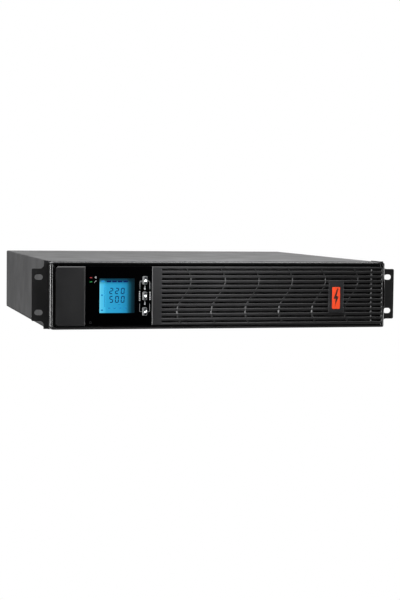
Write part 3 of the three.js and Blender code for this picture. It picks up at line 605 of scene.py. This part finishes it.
def panel_frame():
    """Moulded frame, with its four snap latches behind."""
    profiles = border_profiles()
    rings = [frame_ring(index, profiles) for index in range(len(profiles["left"]))]
    skin = swept("front_panel_frame", rings, closed=True)
    latches = []
    for side in (-1, 1):
        tongue = sorted((side * LATCH_X, side * (LATCH_X + TONGUE)))
        bridge = sorted((side * LATCH_X, side * (LATCH_X + BRIDGE)))
        for low, high in LATCH_HEIGHTS:
            latches.append(slab(*tongue, front(20), front(29), low, high))
            latches.append(slab(*bridge, front(16), front(22), low, high))
    return join_objects("front_panel_frame", [skin] + latches)


# The lower lip's front faces get the inserts' lighter satin material: painted light that stands in for the
# soft highlight along the lower lip.
border = finish_piece(panel_frame(), "front_panel", frame_black, "panel_frame")
border.data.materials.append(grille_black)
for face in border.data.polygons:
    if face.center.z < WINDOW["bottom"] * MM and face.normal.y < -0.9:
        face.material_index = 1


def square_corners(outline, x0, x1, z0, z1, radius, side):
    """Squares the rounded corners at one end, 1 the right and -1 the left."""
    def at_that_end(x):
        return x > x1 - radius - 0.1 if side > 0 else x < x0 + radius + 0.1
    return [(x1 if side > 0 else x0, z0 if z < (z0 + z1) / 2 else z1) if at_that_end(x) else (x, z)
            for x, z in outline]


def drawn_in(outline, low, high, left, right, bottom, top):
    """The outline squeezed inwards by a distance of its own on each side."""
    def squeezed(v, start, end, first, last):
        return start + first + (v - start) * (end - start - first - last) / (end - start)
    return [(squeezed(x, low.x, high.x, left, right), squeezed(z, low.z, high.z, bottom, top))
            for x, z in outline]


PLAIN_CORNER = 3.7
PLAIN_CHAMFERS = (0.3, 1.15, 0.3, 0.95)  # widths at the left, right, bottom and top
PLAIN_STEPS = ((3.0, 0.0), (0.9, 0.0), (0.06, 0.94), (0.0, 1.02))  # depth, and share of the chamfers' widths


def plain_panel():
    """Rounded at its free left end, which is nearly sharp; the top and right edges have wider chamfers."""
    x0, x1, z0, z1 = plain_low.x, plain_high.x, plain_low.z, plain_high.z
    edge = square_corners(rect(x0, x1, z0, z1, PLAIN_CORNER, 6), x0, x1, z0, z1, PLAIN_CORNER, 1)
    rings = []
    for depth, share in PLAIN_STEPS:
        outline = drawn_in(edge, plain_low, plain_high, *[share * width for width in PLAIN_CHAMFERS])
        rings.append([(x, front(depth), z) for x, z in outline])
    return swept("left_blank_panel", rings)


finish_piece(plain_panel(), "front_panel", grille_black, "plain_panel")


# ---- Grille ----

ROWS, ROW_PITCH, TOP_ROW, SLOT = 12, 6.0, 76.0, 2.6
FIRST_RIB, RIB_PITCH, RIB_SWING, RIB_WAVE, RIB_MIDDLE = -49.35, 44.93, 9, 80, 42.5
SLOT_LEFT, SLOT_RIGHT, SLOT_CORNER = -78.8, 216.9, 0.8
END_RIB, END_RIB_HALF = 202.9, 0.8
GRILLE_CORNER, GRILLE_CHAMFER = 3.0, 0.55
RIBS, RIB_STEPS = 6, 48
RIB_HALF, RIB_FLANK, RIB_PROUD, RIB_BACK = 0.2, 0.3, 0.1, 2.8


def rib_x(index, z):
    return FIRST_RIB + RIB_PITCH * index + RIB_SWING * math.sin(2 * math.pi * (z - RIB_MIDDLE) / RIB_WAVE)


def rib_section(x, z):
    """A rib's left flank widens below 46 mm, where it catches the light."""
    flank = RIB_FLANK + 0.6 * min(max((46 - z) / 8, 0), 1)
    left, right = x - RIB_HALF, x + RIB_HALF
    return [(left - flank, front(RIB_BACK), z), (left - flank, front(flank - RIB_PROUD), z),
            (left, front(-RIB_PROUD), z), (right, front(-RIB_PROUD), z),
            (right + RIB_FLANK, front(RIB_FLANK - RIB_PROUD), z),
            (right + RIB_FLANK, front(RIB_BACK), z)]


def grille():
    edges = (grille_low.x, grille_high.x, grille_low.z, grille_high.z)
    outlines = [square_corners(rect(*edges, GRILLE_CORNER, 6), *edges, GRILLE_CORNER, -1)]
    for row in range(ROWS):
        z = TOP_ROW - row * ROW_PITCH
        for start, end in ((SLOT_LEFT, END_RIB - END_RIB_HALF), (END_RIB + END_RIB_HALF, SLOT_RIGHT)):
            outlines.append(rect(start, end, z - SLOT / 2, z + SLOT / 2, SLOT_CORNER, 3))
    pieces = [plate("grille_plate", outlines, front(0), front(3), GRILLE_CHAMFER, 0)]
    low, high = TOP_ROW - (ROWS - 1) * ROW_PITCH - 2.4, TOP_ROW + 3.2
    heights = [low + (high - low) * i / RIB_STEPS for i in range(RIB_STEPS + 1)]
    for index in range(RIBS):
        pieces.append(swept("rib", [rib_section(rib_x(index, z), z) for z in heights]))
    return join_objects("louvred_grille", pieces)


finish_piece(grille(), "front_panel", grille_black, "grille_panel")

# Badge: a raised plate with an orange field that carries a plain bolt.
BOLT = [(0.62, 0.93), (0.18, 0.46), (0.46, 0.46), (0.34, 0.07), (0.84, 0.58), (0.55, 0.58), (0.80, 0.93)]
field = (badge_low.x + 4.7, badge_high.x - 5.1, badge_low.z + 4.9, badge_high.z - 8.2)
bolt = [(field[0] + (field[1] - field[0]) * u, field[2] + (field[3] - field[2]) * v) for u, v in BOLT]
backplate = rect(badge_low.x, badge_high.x, badge_low.z, badge_high.z, 1.0)
finish_piece(plate("badge_backplate", [backplate], badge_low.y + 0.3, badge_high.y, 0.35, 3),
             "front_panel", badge_black, "badge_plate")
finish_piece(plate("badge_field", [rect(*field, 0.8), bolt], badge_low.y, badge_low.y + 0.6, 0.05),
             "front_panel", badge_orange)


# ---- Display ----

LCD = (lcd_low.x, lcd_high.x, lcd_low.z, lcd_high.z)
KEYS = {label: middle_of(f"key_{label}").z for label in ("up", "down", "enter")}
KEY_X, KEY_W, KEY_H = middle_of("key_up").x, key_high.x - key_low.x, key_high.z - key_low.z
LAMPS = {label: middle_of(f"lamp_{label}").z for label in ("alarm", "running")}
LAMP_X = middle_of("lamp_alarm").x
KEY_SHAPE = (KEY_W / 2, KEY_H / 2, 1.2)  # half width, half height and corner radius
LAMP_SHAPE = (1.6, 0.55, 0.5)
BEHIND = 12.7  # depth of the back of the LCD and of the lenses


def rounded(x, z, half_w, half_h, radius, margin=0.0):
    """A rounded rectangle about x, z, with a margin all round."""
    half_w, half_h = half_w + margin, half_h + margin
    return rect(x - half_w, x + half_w, z - half_h, z + half_h, radius + margin)


window_holes = [rect(*LCD, 0.4, 3)] + [rounded(KEY_X, z, *KEY_SHAPE, 0.25) for z in KEYS.values()]
window_holes += [rounded(LAMP_X, z, *LAMP_SHAPE, 0.15) for z in LAMPS.values()]
finish_piece(plate("display_pane", [rect(window_low.x, window_high.x, window_low.z, window_high.z)]
                   + window_holes, front(0), front(1), 0.12, 2),
             "front_panel", window_black, "display_window")
finish_piece(plate("lcd_screen", [rect(LCD[0] + 0.05, LCD[1] - 0.05, LCD[2] + 0.05, LCD[3] - 0.05)],
                   front(0.3), front(BEHIND), 0.02, 1), "front_panel", lcd_blue, "lcd_module")

INK_FRONT, INK_BACK = front(0.24), front(0.31)


def ink(name, outlines, material=segment_ink):
    """Flat marks just above the LCD's face."""
    strokes = [plate("stroke", [o], INK_FRONT, INK_BACK, 0.01, 1) for o in outlines]
    return finish_piece(join_objects(name, strokes), "front_panel", material)


def lcd_mark(x0, x1, z0, z1, radius=0.0):
    """A mark whose edges are measured from the LCD's lower left corner."""
    return rect(lcd_low.x + x0, lcd_low.x + x1, lcd_low.z + z0, lcd_low.z + z1, radius, 2)


DIGIT_WIDTH, STROKE, SEGMENT_GAP, SLANT = 4.7, 1.15, 0.22, 0.06


def digit(code, x, z, height):
    """Seven-segment digit with its lower left corner at x, z. code lists the lit segments."""
    w, h, t, gap = DIGIT_WIDTH, height, STROKE, SEGMENT_GAP
    low_bar = [(gap + t * .3, 0), (gap + t, t), (w - gap - t, t), (w - gap - t * .3, 0)]
    low_left = [(0, gap), (t, t + gap), (t, h / 2 - gap - t * .5), (t * .6, h / 2 - gap), (0, h / 2 - gap)]
    left_end = [(gap + t * 1.2, h / 2 - t / 2), (gap + t * .6, h / 2), (gap + t * 1.2, h / 2 + t / 2)]

    def across(points):
        return [(w - u, v) for u, v in reversed(points)]

    def upwards(points):
        return [(u, h - v) for u, v in reversed(points)]

    bars = {"a": upwards(low_bar), "b": across(upwards(low_left)), "c": across(low_left), "d": low_bar,
            "e": low_left, "f": upwards(low_left), "g": left_end + across(left_end)}
    return [[(x + u + SLANT * v, z + v) for u, v in bars[s]] for s in code]


SEGMENTS = {"2": "abged", "0": "abcdef", "5": "afgcd"}
strokes = []
for text, base, height in (("220", 23.7, 7.9), ("500", 12.8, 8.6)):
    for i, char in enumerate(text):
        strokes += digit(SEGMENTS[char], lcd_low.x + 12.3 + i * 7.3, lcd_low.z + base, height)
ink("lcd_digits", strokes)
ink("lcd_bars", [lcd_mark(9.0 + i * 7.05, 14.7 + i * 7.05, 38.5, 40.7, 0.3) for i in range(4)])
ink("lcd_frame_marks", [lcd_mark(6.3, 6.9, 7.3, 36.0), lcd_mark(2.0, 4.2, 21.4, 23.4, 0.6),
                        lcd_mark(1.8, 4.6, 2.6, 4.3, 0.5), lcd_mark(1.5, 5.9, 39.0, 40.6, 0.4)],
    segment_faint)
ink("lcd_faint_marks", [lcd_mark(10.9 + i * 6.9, 13.9 + i * 6.9, 5.6, 6.6, 0.3) for i in range(4)]
    + [lcd_mark(34.9, 36.3, 23.6, 24.6, 0.3), lcd_mark(23.7, 27.1, 10.7, 11.3)], segment_faint)

PRINT_FRONT, PRINT_BACK = front(-0.05), front(0.02)


def printed(name, shapes, body="front_panel", y0=PRINT_FRONT, y1=PRINT_BACK, material=print_white):
    """A thin print from several shapes."""
    strokes = [plate("stroke", [shape], y0, y1, 0.008, 1) for shape in shapes]
    return finish_piece(join_objects(name, strokes), body, material)


def line(points, width):
    """Outline of a polyline with square ends."""
    left, right = [], []
    for i, p in enumerate(points):
        a = Vector(points[max(i - 1, 0)])
        b = Vector(points[min(i + 1, len(points) - 1)])
        along = (b - a).normalized()
        across = Vector((-along.y, along.x)) * width / 2
        left.append(tuple(Vector(p) + across))
        right.append(tuple(Vector(p) - across))
    return right + left[::-1]


# Brackets round the keys, broken half way up, with small ticks where the real one has its words.
BRACKET = {"half": 6.4, "top": 61.7, "bottom": 22.9, "radius": 1.2, "arm": 10.4, "start": 3.3, "line": 0.34}
TICK_X, TICK_STEP = 6.7, 2.2
TICK_ROWS = ((-1, 36.8, 6), (1, 37.9, 5))  # side, height of the lowest, number
BETWEEN_KEYS = (52.4, 33.2)


def key_brackets():
    shapes = []
    radius = BRACKET["radius"]
    for side in (-1, 1):
        edge = KEY_X + side * BRACKET["half"]
        for z, sign in ((BRACKET["top"], -1), (BRACKET["bottom"], 1)):
            first = -90 * sign  # degrees, where the bracket's level part ends
            turn = arc(edge - side * radius, z + sign * radius, radius, first, first + sign * side * 90, 5)
            path = [(KEY_X + side * BRACKET["start"], z)] + turn + [(edge, z + sign * BRACKET["arm"])]
            shapes.append(line(path, BRACKET["line"]))
    return shapes


def key_ticks():
    shapes = []
    for side, base, count in TICK_ROWS:
        x = KEY_X + side * TICK_X
        for i in range(count):
            z = base + i * TICK_STEP
            shapes.append(rect(x - 0.8, x + 0.8, z, z + 1.35, 0.2, 2))
    for z in BETWEEN_KEYS:
        shapes += [rect(KEY_X - 0.9, KEY_X + 0.9, z - 1.4, z + 0.4, 0.2, 2),
                   rect(KEY_X - 0.5, KEY_X + 0.7, z + 1.0, z + 2.2, 0.2, 2),
                   rect(KEY_X - 0.15, KEY_X + 0.25, z + 2.8, z + 4.2)]
    return shapes


def beside_lamp(label, points):
    """Points measured from a lamp's centre."""
    return [(LAMP_X + x, LAMPS[label] + z) for x, z in points]


printed("key_brackets", key_brackets())
printed("key_ticks", key_ticks())

# Small generic symbols beside the lamps, and a round sensor low on the pane.
printed("lamp_symbols", [
    beside_lamp("alarm", [(4.0, 0.3), (6.0, 1.9), (6.0, -1.3)]),
    line(beside_lamp("alarm", arc(4.8, 0.3, 2.2, -38, 38, 6)), 0.45),
    line(beside_lamp("running", [(4.2, -1.4), (5.8, 1.6), (6.5, 1.6), (6.9, 0.9)]), 0.5),
])
SENSOR_PROFILE = [(0, 0.06), (0.9, 0.06), (1.1, -0.04), (1.5, -0.04), (1.5, 0.3), (0, 0.3)]
sensor_place = (window_low.x + 5.9, front(0), window_low.z + 4.3)
finish_piece(lathe("light_sensor", SENSOR_PROFILE, sensor_place, 24),
             "front_panel", grille_black)

# Lamps: oval lenses.
for label, colour, material in (("alarm", "red", lens_red), ("running", "green", lens_green)):
    outline = rounded(LAMP_X, LAMPS[label], *LAMP_SHAPE)
    finish_piece(plate(f"lens_{label}", [outline], front(-0.1), front(BEHIND), 0.1),
                 "front_panel", material, f"lamp_{label}")

# Keys: crowned caps with a dark label and a white symbol each; the symbol glows with painted light.
SYMBOLS = {
    "up": [[(-1.5, -1.0), (1.5, -1.0), (0.0, 1.7)]],
    "down": [[(-1.5, 1.0), (0.0, -1.7), (1.5, 1.0)]],
    "enter": [line([(1.2, 1.9), (1.2, -0.5), (-0.2, -0.5)], 0.6), [(-1.6, -0.5), (-0.1, 0.8), (-0.1, -1.8)]],
}
FLANK = 1.9  # the cap's left side slopes up over this width
LEDGE = 0.25  # from the flank's top to the label
RIM = 0.75  # from the other sides to the label
# Depth behind the front face, and how far the outline has drawn in at the left and elsewhere.
CAP_RINGS = [(0.0, 0.0, 0.0), (-0.15, 0.02, 0.02), (-0.3, 0.2, 0.06), (-1.2, FLANK - 0.3, 0.35),
             (-1.34, FLANK, 0.5), (-1.4, FLANK + LEDGE, RIM)]
CAP_TOP = front(CAP_RINGS[-1][0])


def cap_outline(z, left_in, others, radius, steps=5):
    """A key's outline, drawn in at its left and by others on the other sides."""
    return rect(KEY_X - KEY_W / 2 + left_in, KEY_X + KEY_W / 2 - others,
                z - KEY_H / 2 + others, z + KEY_H / 2 - others, radius, steps)


def key_cap(label, z):
    """Light grey cap with one long sloping flank."""
    back = corners_of(f"key_{label}")[1].y
    rings = [(back, 0.0, 0.0)] + [(front(depth), *insets) for depth, *insets in CAP_RINGS]
    return swept(f"cap_{label}", [[(x, y, v) for x, v in cap_outline(z, left_in, others, 0.9)]
                                  for y, left_in, others in rings])


for label, z in KEYS.items():
    key = f"key_{label}"  # its body and its CAD node
    finish_piece(key_cap(label, z), key, key_grey, key)
    face = cap_outline(z, FLANK + LEDGE, RIM, 0.5, 4)
    finish_piece(plate(f"label_{label}", [face], CAP_TOP - 0.03, CAP_TOP + 0.1, 0.02, 1),
                 key, key_black)
    middle = KEY_X + FLANK / 2 - LEDGE
    printed(f"symbol_{label}", [[(middle + x, z + v) for x, v in shape] for shape in SYMBOLS[label]],
            key, CAP_TOP - 0.06, CAP_TOP, print_painted_glow)


# ---- Rear and fasteners ----

FAN_X, FAN_Z = {"left": -172, "right": -88}, 43.0
HUB, BLADE_ROOT, BLADE_TIP = 16.5, 15.6, 35.4
BLADES, BLADE_STEPS, BLADE_SIDE = 7, 8, 6
BLADE_HALF_THICK, BLADE_CAMBER = 0.75, 1.6
GUARD_RINGS, GUARD_WIRE, GUARD_SCREW, GUARD_EYE = (8, 15, 22, 29, 36), 0.75, 49, 2.6


def blade_section(centre, lean, radius, share):
    """A blade's section at this radius; share goes from 0 at its root to 1 at its tip."""
    pitch = math.radians(40 - 10 * share)
    chord = 15.0 + 2.5 * share
    points = []
    for j in range(2 * BLADE_SIDE):
        t = j / BLADE_SIDE if j <= BLADE_SIDE else 2 - j / BLADE_SIDE
        bulge = 1 - (2 * t - 1) ** 4
        thick = BLADE_HALF_THICK * bulge if j <= BLADE_SIDE else -BLADE_HALF_THICK * bulge
        rise = BLADE_CAMBER * (1 - (2 * t - 1) ** 2) + thick
        along = (t - 0.5) * chord
        a = lean + (along * math.cos(pitch) - rise * math.sin(pitch)) / radius
        forward = along * math.sin(pitch) + rise * math.cos(pitch)
        points.append(centre + Vector((radius * math.cos(a), forward, radius * math.sin(a))))
    return points


def fan_rotor(label):
    """Hub with a domed cap and seven curved, twisted blades."""
    low, high = corners_of(f"fan_rotor_{label}")
    y0, y1 = low.y, high.y
    centre = Vector((FAN_X[label], (y0 + y1) / 2, FAN_Z))
    profile = [(0, y0), (HUB - 2, y0), (HUB - 0.5, y0 + 1.2), (HUB, y0 + 3), (HUB, y1 - 0.8),
               (HUB - 0.8, y1), (0, y1)]
    pieces = [lathe("hub", profile, (centre.x, 0, centre.z), 40)]
    for blade in range(BLADES):
        sections = []
        for i in range(BLADE_STEPS + 1):
            share = i / BLADE_STEPS
            lean = math.radians(360 * blade / BLADES + 14 * share ** 2)
            radius = BLADE_ROOT + (BLADE_TIP - BLADE_ROOT) * share
            sections.append(blade_section(centre, lean, radius, share))
        pieces.append(swept("blade", sections))
    return join_objects(f"fan_impeller_{label}", pieces)


def ring_at(x, y, z, radius, steps):
    """Points round a circle that faces the rear."""
    return [(u, y, v) for u, v in arc(x, z, radius, 0, 360, steps)[:-1]]


def finger_guard(label):
    """Five wire rings on four bars, each with an eye for its screw."""
    low, high = corners_of(f"fan_guard_{label}")
    x, y, z = FAN_X[label], low.y + GUARD_WIRE, FAN_Z
    pieces = [tube("ring", ring_at(x, high.y - GUARD_WIRE, z, radius, 64), GUARD_WIRE, True)
              for radius in GUARD_RINGS]
    for bar in range(4):
        a = math.radians(45 + 90 * bar)
        path = [(x + r * math.cos(a), y, z + r * math.sin(a))
                for r in (GUARD_RINGS[0], GUARD_RINGS[-1], GUARD_SCREW - 2.5)]
        pieces.append(tube("bar", path, GUARD_WIRE))
        eye = ring_at(x + GUARD_SCREW * math.cos(a), y, z + GUARD_SCREW * math.sin(a), GUARD_EYE, 24)
        pieces.append(tube("eye", eye, GUARD_WIRE, True))
    return join_objects(f"finger_guard_{label}", pieces)


for label in ("left", "right"):
    finish_piece(fan_rotor(label), f"fan_rotor_{label}", fan_black, f"fan_rotor_{label}")
    finish_piece(finger_guard(label), "chassis", steel_wire, f"fan_guard_{label}")


def cross_screw(name, centre, axis, radius, height, shank, node):
    """Pan-head screw with a cross recess, seated at centre. shank is its radius and length."""
    centre, axis = Vector(centre), Vector(axis)
    side = axis.orthogonal().normalized()
    other = axis.cross(side)
    sides = 32
    profile = [(shank[0], -shank[1]), (shank[0], 0), (radius, 0), (radius, height * .35),
               (radius * .9, height * .75), (radius * .62, height * .98)]
    directions = spokes(side, other, sides)
    bm = bmesh.new()
    rings = [[bm.verts.new((centre + axis * h + r * spoke) * MM) for spoke in directions]
             for r, h in profile]
    # The inner ring is a cross: its points step in where the recess lies.
    arm, width = radius * 0.52, radius * 0.14
    inner, bottom = [], []
    for k, spoke in enumerate(directions):
        a = 2 * math.pi * k / sides
        narrow = max(min(abs(math.cos(a)), abs(math.sin(a))), 1e-6)
        reach = max(min(arm, width / narrow), width * 1.2)
        inner.append(bm.verts.new((centre + axis * height + reach * spoke) * MM))
        bottom.append(bm.verts.new((centre + axis * height * .35 + reach * .8 * spoke) * MM))
    rings += [inner, bottom]
    round_skin(bm, rings, sides)
    bm.faces.new(rings[0])
    bm.faces.new(bottom)
    return finish_piece(mesh_object(name, bm), "chassis", zinc, node)


EAR_SEAT = 222.4  # distance of the ears' screw heads from the middle
for label, side in (("left", -1), ("right", 1)):
    for i in (1, 2, 3):
        middle = middle_of(f"ear_screw_{label}_{i}")
        cross_screw(f"pan_screw_{label}_{i}", (side * EAR_SEAT, middle.y, middle.z), (side, 0, 0), 3.8, 2.0,
                    (1.8, 8), f"ear_screw_{label}_{i}")
GROUND_HEAD = 2.4
middle = middle_of("ground_screw")
cross_screw("ground_stud_screw", (middle.x, corners_of("ground_screw")[1].y - GROUND_HEAD, middle.z),
            (0, 1, 0), 4.2, GROUND_HEAD, (2.0, 7), "ground_screw")

KNURL_RADIUS, KNURL_DEPTH, KNURL_SIDES, THUMB_SHANK = 3.9, 0.12, 64, 4.5


def knurled_screw(index):
    """Captive thumbscrew: a knurled head with a groove round it."""
    low, high = corners_of(f"slot_thumbscrew_{index}")
    x, z = (low.x + high.x) / 2, (low.z + high.z) / 2
    seat = low.y + THUMB_SHANK
    length = high.y - seat
    profile = [(0, -THUMB_SHANK), (1.6, -THUMB_SHANK), (1.6, 0), (3.8, 0), (4, 0.2), (4, 1.1), (3.2, 1.3),
               (3.2, 2.2), (KNURL_RADIUS, 2.4), (KNURL_RADIUS, length - 0.7), (3.3, length), (0.9, length),
               (0.9, length - 0.9), (0, length - 0.9)]
    directions = spokes(Vector((1, 0, 0)), Vector((0, 0, 1)), KNURL_SIDES)
    bm = bmesh.new()
    rings = []
    for radius, height in profile:
        knurl = KNURL_DEPTH if radius == KNURL_RADIUS else 0
        centre = Vector((x, seat + height, z))
        rings.append([bm.verts.new((centre + (radius - knurl * (k % 2)) * spoke) * MM)
                      for k, spoke in enumerate(directions if radius else [Vector()])])
    round_skin(bm, rings, KNURL_SIDES)
    return finish_piece(mesh_object(f"knurled_screw_{index}", bm), "chassis", zinc,
                        f"slot_thumbscrew_{index}")


for index in (1, 2):
    knurled_screw(index)


# ---- CAD nodes that stay ----

KEPT = {
    sheet_black: ["base_pan", "top_cover", "front_bulkhead", "bay_divider", "rear_panel",
                  "option_slot_cover"],
    ear_black: ["rack_ear_left", "rack_ear_right"],
    zinc: ["battery_tray"],
    solder_mask: ["power_board", "control_board", "display_board"],
    alloy: ["heatsink_left", "heatsink_right"],
    sleeve_blue: ["bus_capacitor_1", "bus_capacitor_2"],
    copper: ["input_inductor", "output_inductor"],
    fan_black: ["fan_frame_left", "fan_frame_right"],
    socket_black: ["mains_inlet", "outlet_strip_left", "outlet_strip_right", "breaker_body",
                   "network_ports"],
    grey_plastic: ["external_battery_port", "pack_connector"],
    port_metal: ["serial_port", "usb_port"],
    ivory: ["breaker_button"],
    frame_black: ["display_housing"],
    foam: ["dust_filter"],
    battery_grey: [f"battery_{i}" for i in (1, 2, 3, 4)],
}
EDGE, CASE_EDGE = 0.25, 0.5  # rounded edges of most nodes, and of the batteries
for material, names in KEPT.items():
    for name in names:
        obj = nodes[name]
        obj.data.materials.clear()
        obj.data.materials.append(material)
        bevelled(obj, CASE_EDGE if material == battery_grey else EDGE)


# ---- Studio ----

def seen_white(tree, shader, kind):
    """What the camera sees is white; everything else is lit by the given shader."""
    white = tree.nodes.new(kind)
    white.inputs["Color"].default_value = (1, 1, 1, 1)
    path = tree.nodes.new("ShaderNodeLightPath")
    mix = tree.nodes.new("ShaderNodeMixShader")
    tree.links.new(path.outputs["Is Camera Ray"], mix.inputs[0])
    tree.links.new(shader, mix.inputs[1])
    tree.links.new(white.outputs[0], mix.inputs[2])
    return mix.outputs[0]


FLOOR_HALF, FLOOR_DROP = 12, 0.0002  # metres


def studio_floor():
    """A wide plain floor just under the object."""
    bm = bmesh.new()
    bmesh.ops.create_grid(bm, x_segments=1, y_segments=1, size=FLOOR_HALF)
    floor = mesh_object("studio_floor", bm, False)
    s = Surface("studio_floor", (0.3, 0.3, 0.3, 1), 0.9)
    surface = seen_white(s.tree, s.shader.outputs[0], "ShaderNodeEmission")
    s.link(surface, s.tree.nodes["Material Output"].inputs["Surface"])
    floor.data.materials.append(s.material)
    floor.location.z = -FLOOR_DROP
    floor.visible_glossy = False
    floor.visible_shadow = False


def area_light(name, location, target, width, height, power, mirrored=True):
    """A soft light that faces target, in metres and watts."""
    data = bpy.data.lights.new(name, "AREA")
    data.shape = "RECTANGLE"
    data.size, data.size_y = width, height
    data.energy = power
    light = linked(name, data)
    light.visible_camera = False
    light.visible_glossy = mirrored
    light.location = location
    light.rotation_euler = (Vector(target) - Vector(location)).to_track_quat("-Z", "Y").to_euler()


def world_light():
    """White to the camera; as a light, pale behind and below the object and dim on the camera's side."""
    world = bpy.data.worlds.new("studio")
    bpy.context.scene.world = world
    world.use_nodes = True
    tree = world.node_tree
    tree.nodes.clear()
    output = tree.nodes.new("ShaderNodeOutputWorld")
    place = tree.nodes.new("ShaderNodeTexCoord")
    split = tree.nodes.new("ShaderNodeSeparateXYZ")
    tree.links.new(place.outputs["Generated"], split.inputs["Vector"])

    def ramp(axis, start, end, low, high):
        node = map_range(tree, split.outputs[axis], start, end, low, high)
        node.interpolation_type = "SMOOTHSTEP"
        return node.outputs["Result"]

    def combined(operation, first, second):
        node = tree.nodes.new("ShaderNodeMath")
        node.operation = operation
        tree.links.new(first, node.inputs[0])
        tree.links.new(second, node.inputs[1])
        return node.outputs[0]

    behind = combined("MULTIPLY", ramp("Y", -0.5, 0.6, 0.03, 0.8), ramp("X", -0.45, 0.6, 0.5, 2.2))
    below = ramp("Z", -0.3, -0.7, 0.0, 0.4)
    light = tree.nodes.new("ShaderNodeBackground")
    tree.links.new(combined("ADD", behind, below), light.inputs["Strength"])
    surface = seen_white(tree, light.outputs[0], "ShaderNodeBackground")
    tree.links.new(surface, output.inputs["Surface"])


studio_floor()
world_light()
area_light("top_softbox", (-0.1, -0.45, 1.1), (0, -0.2, 0), 1.4, 0.7, 15)
area_light("left_softbox", (-1.27, -0.72, 0.02), (-0.2, -0.24, 0.04), 0.3, 0.6, 19)
area_light("left_upper_softbox", (-1.27, -0.72, 0.57), (-0.2, -0.24, 0.1), 0.3, 0.5, 5)
area_light("right_softbox", (1.1, -0.45, 0.2), (0.2, -0.24, 0.05), 0.3, 0.8, 9)
area_light("front_strip", (-0.03, -0.36, 0.17), (-0.06, -0.24, 0.07), 0.16, 0.04, 2.9, False)
bpy.context.scene.view_settings.view_transform = "Standard"
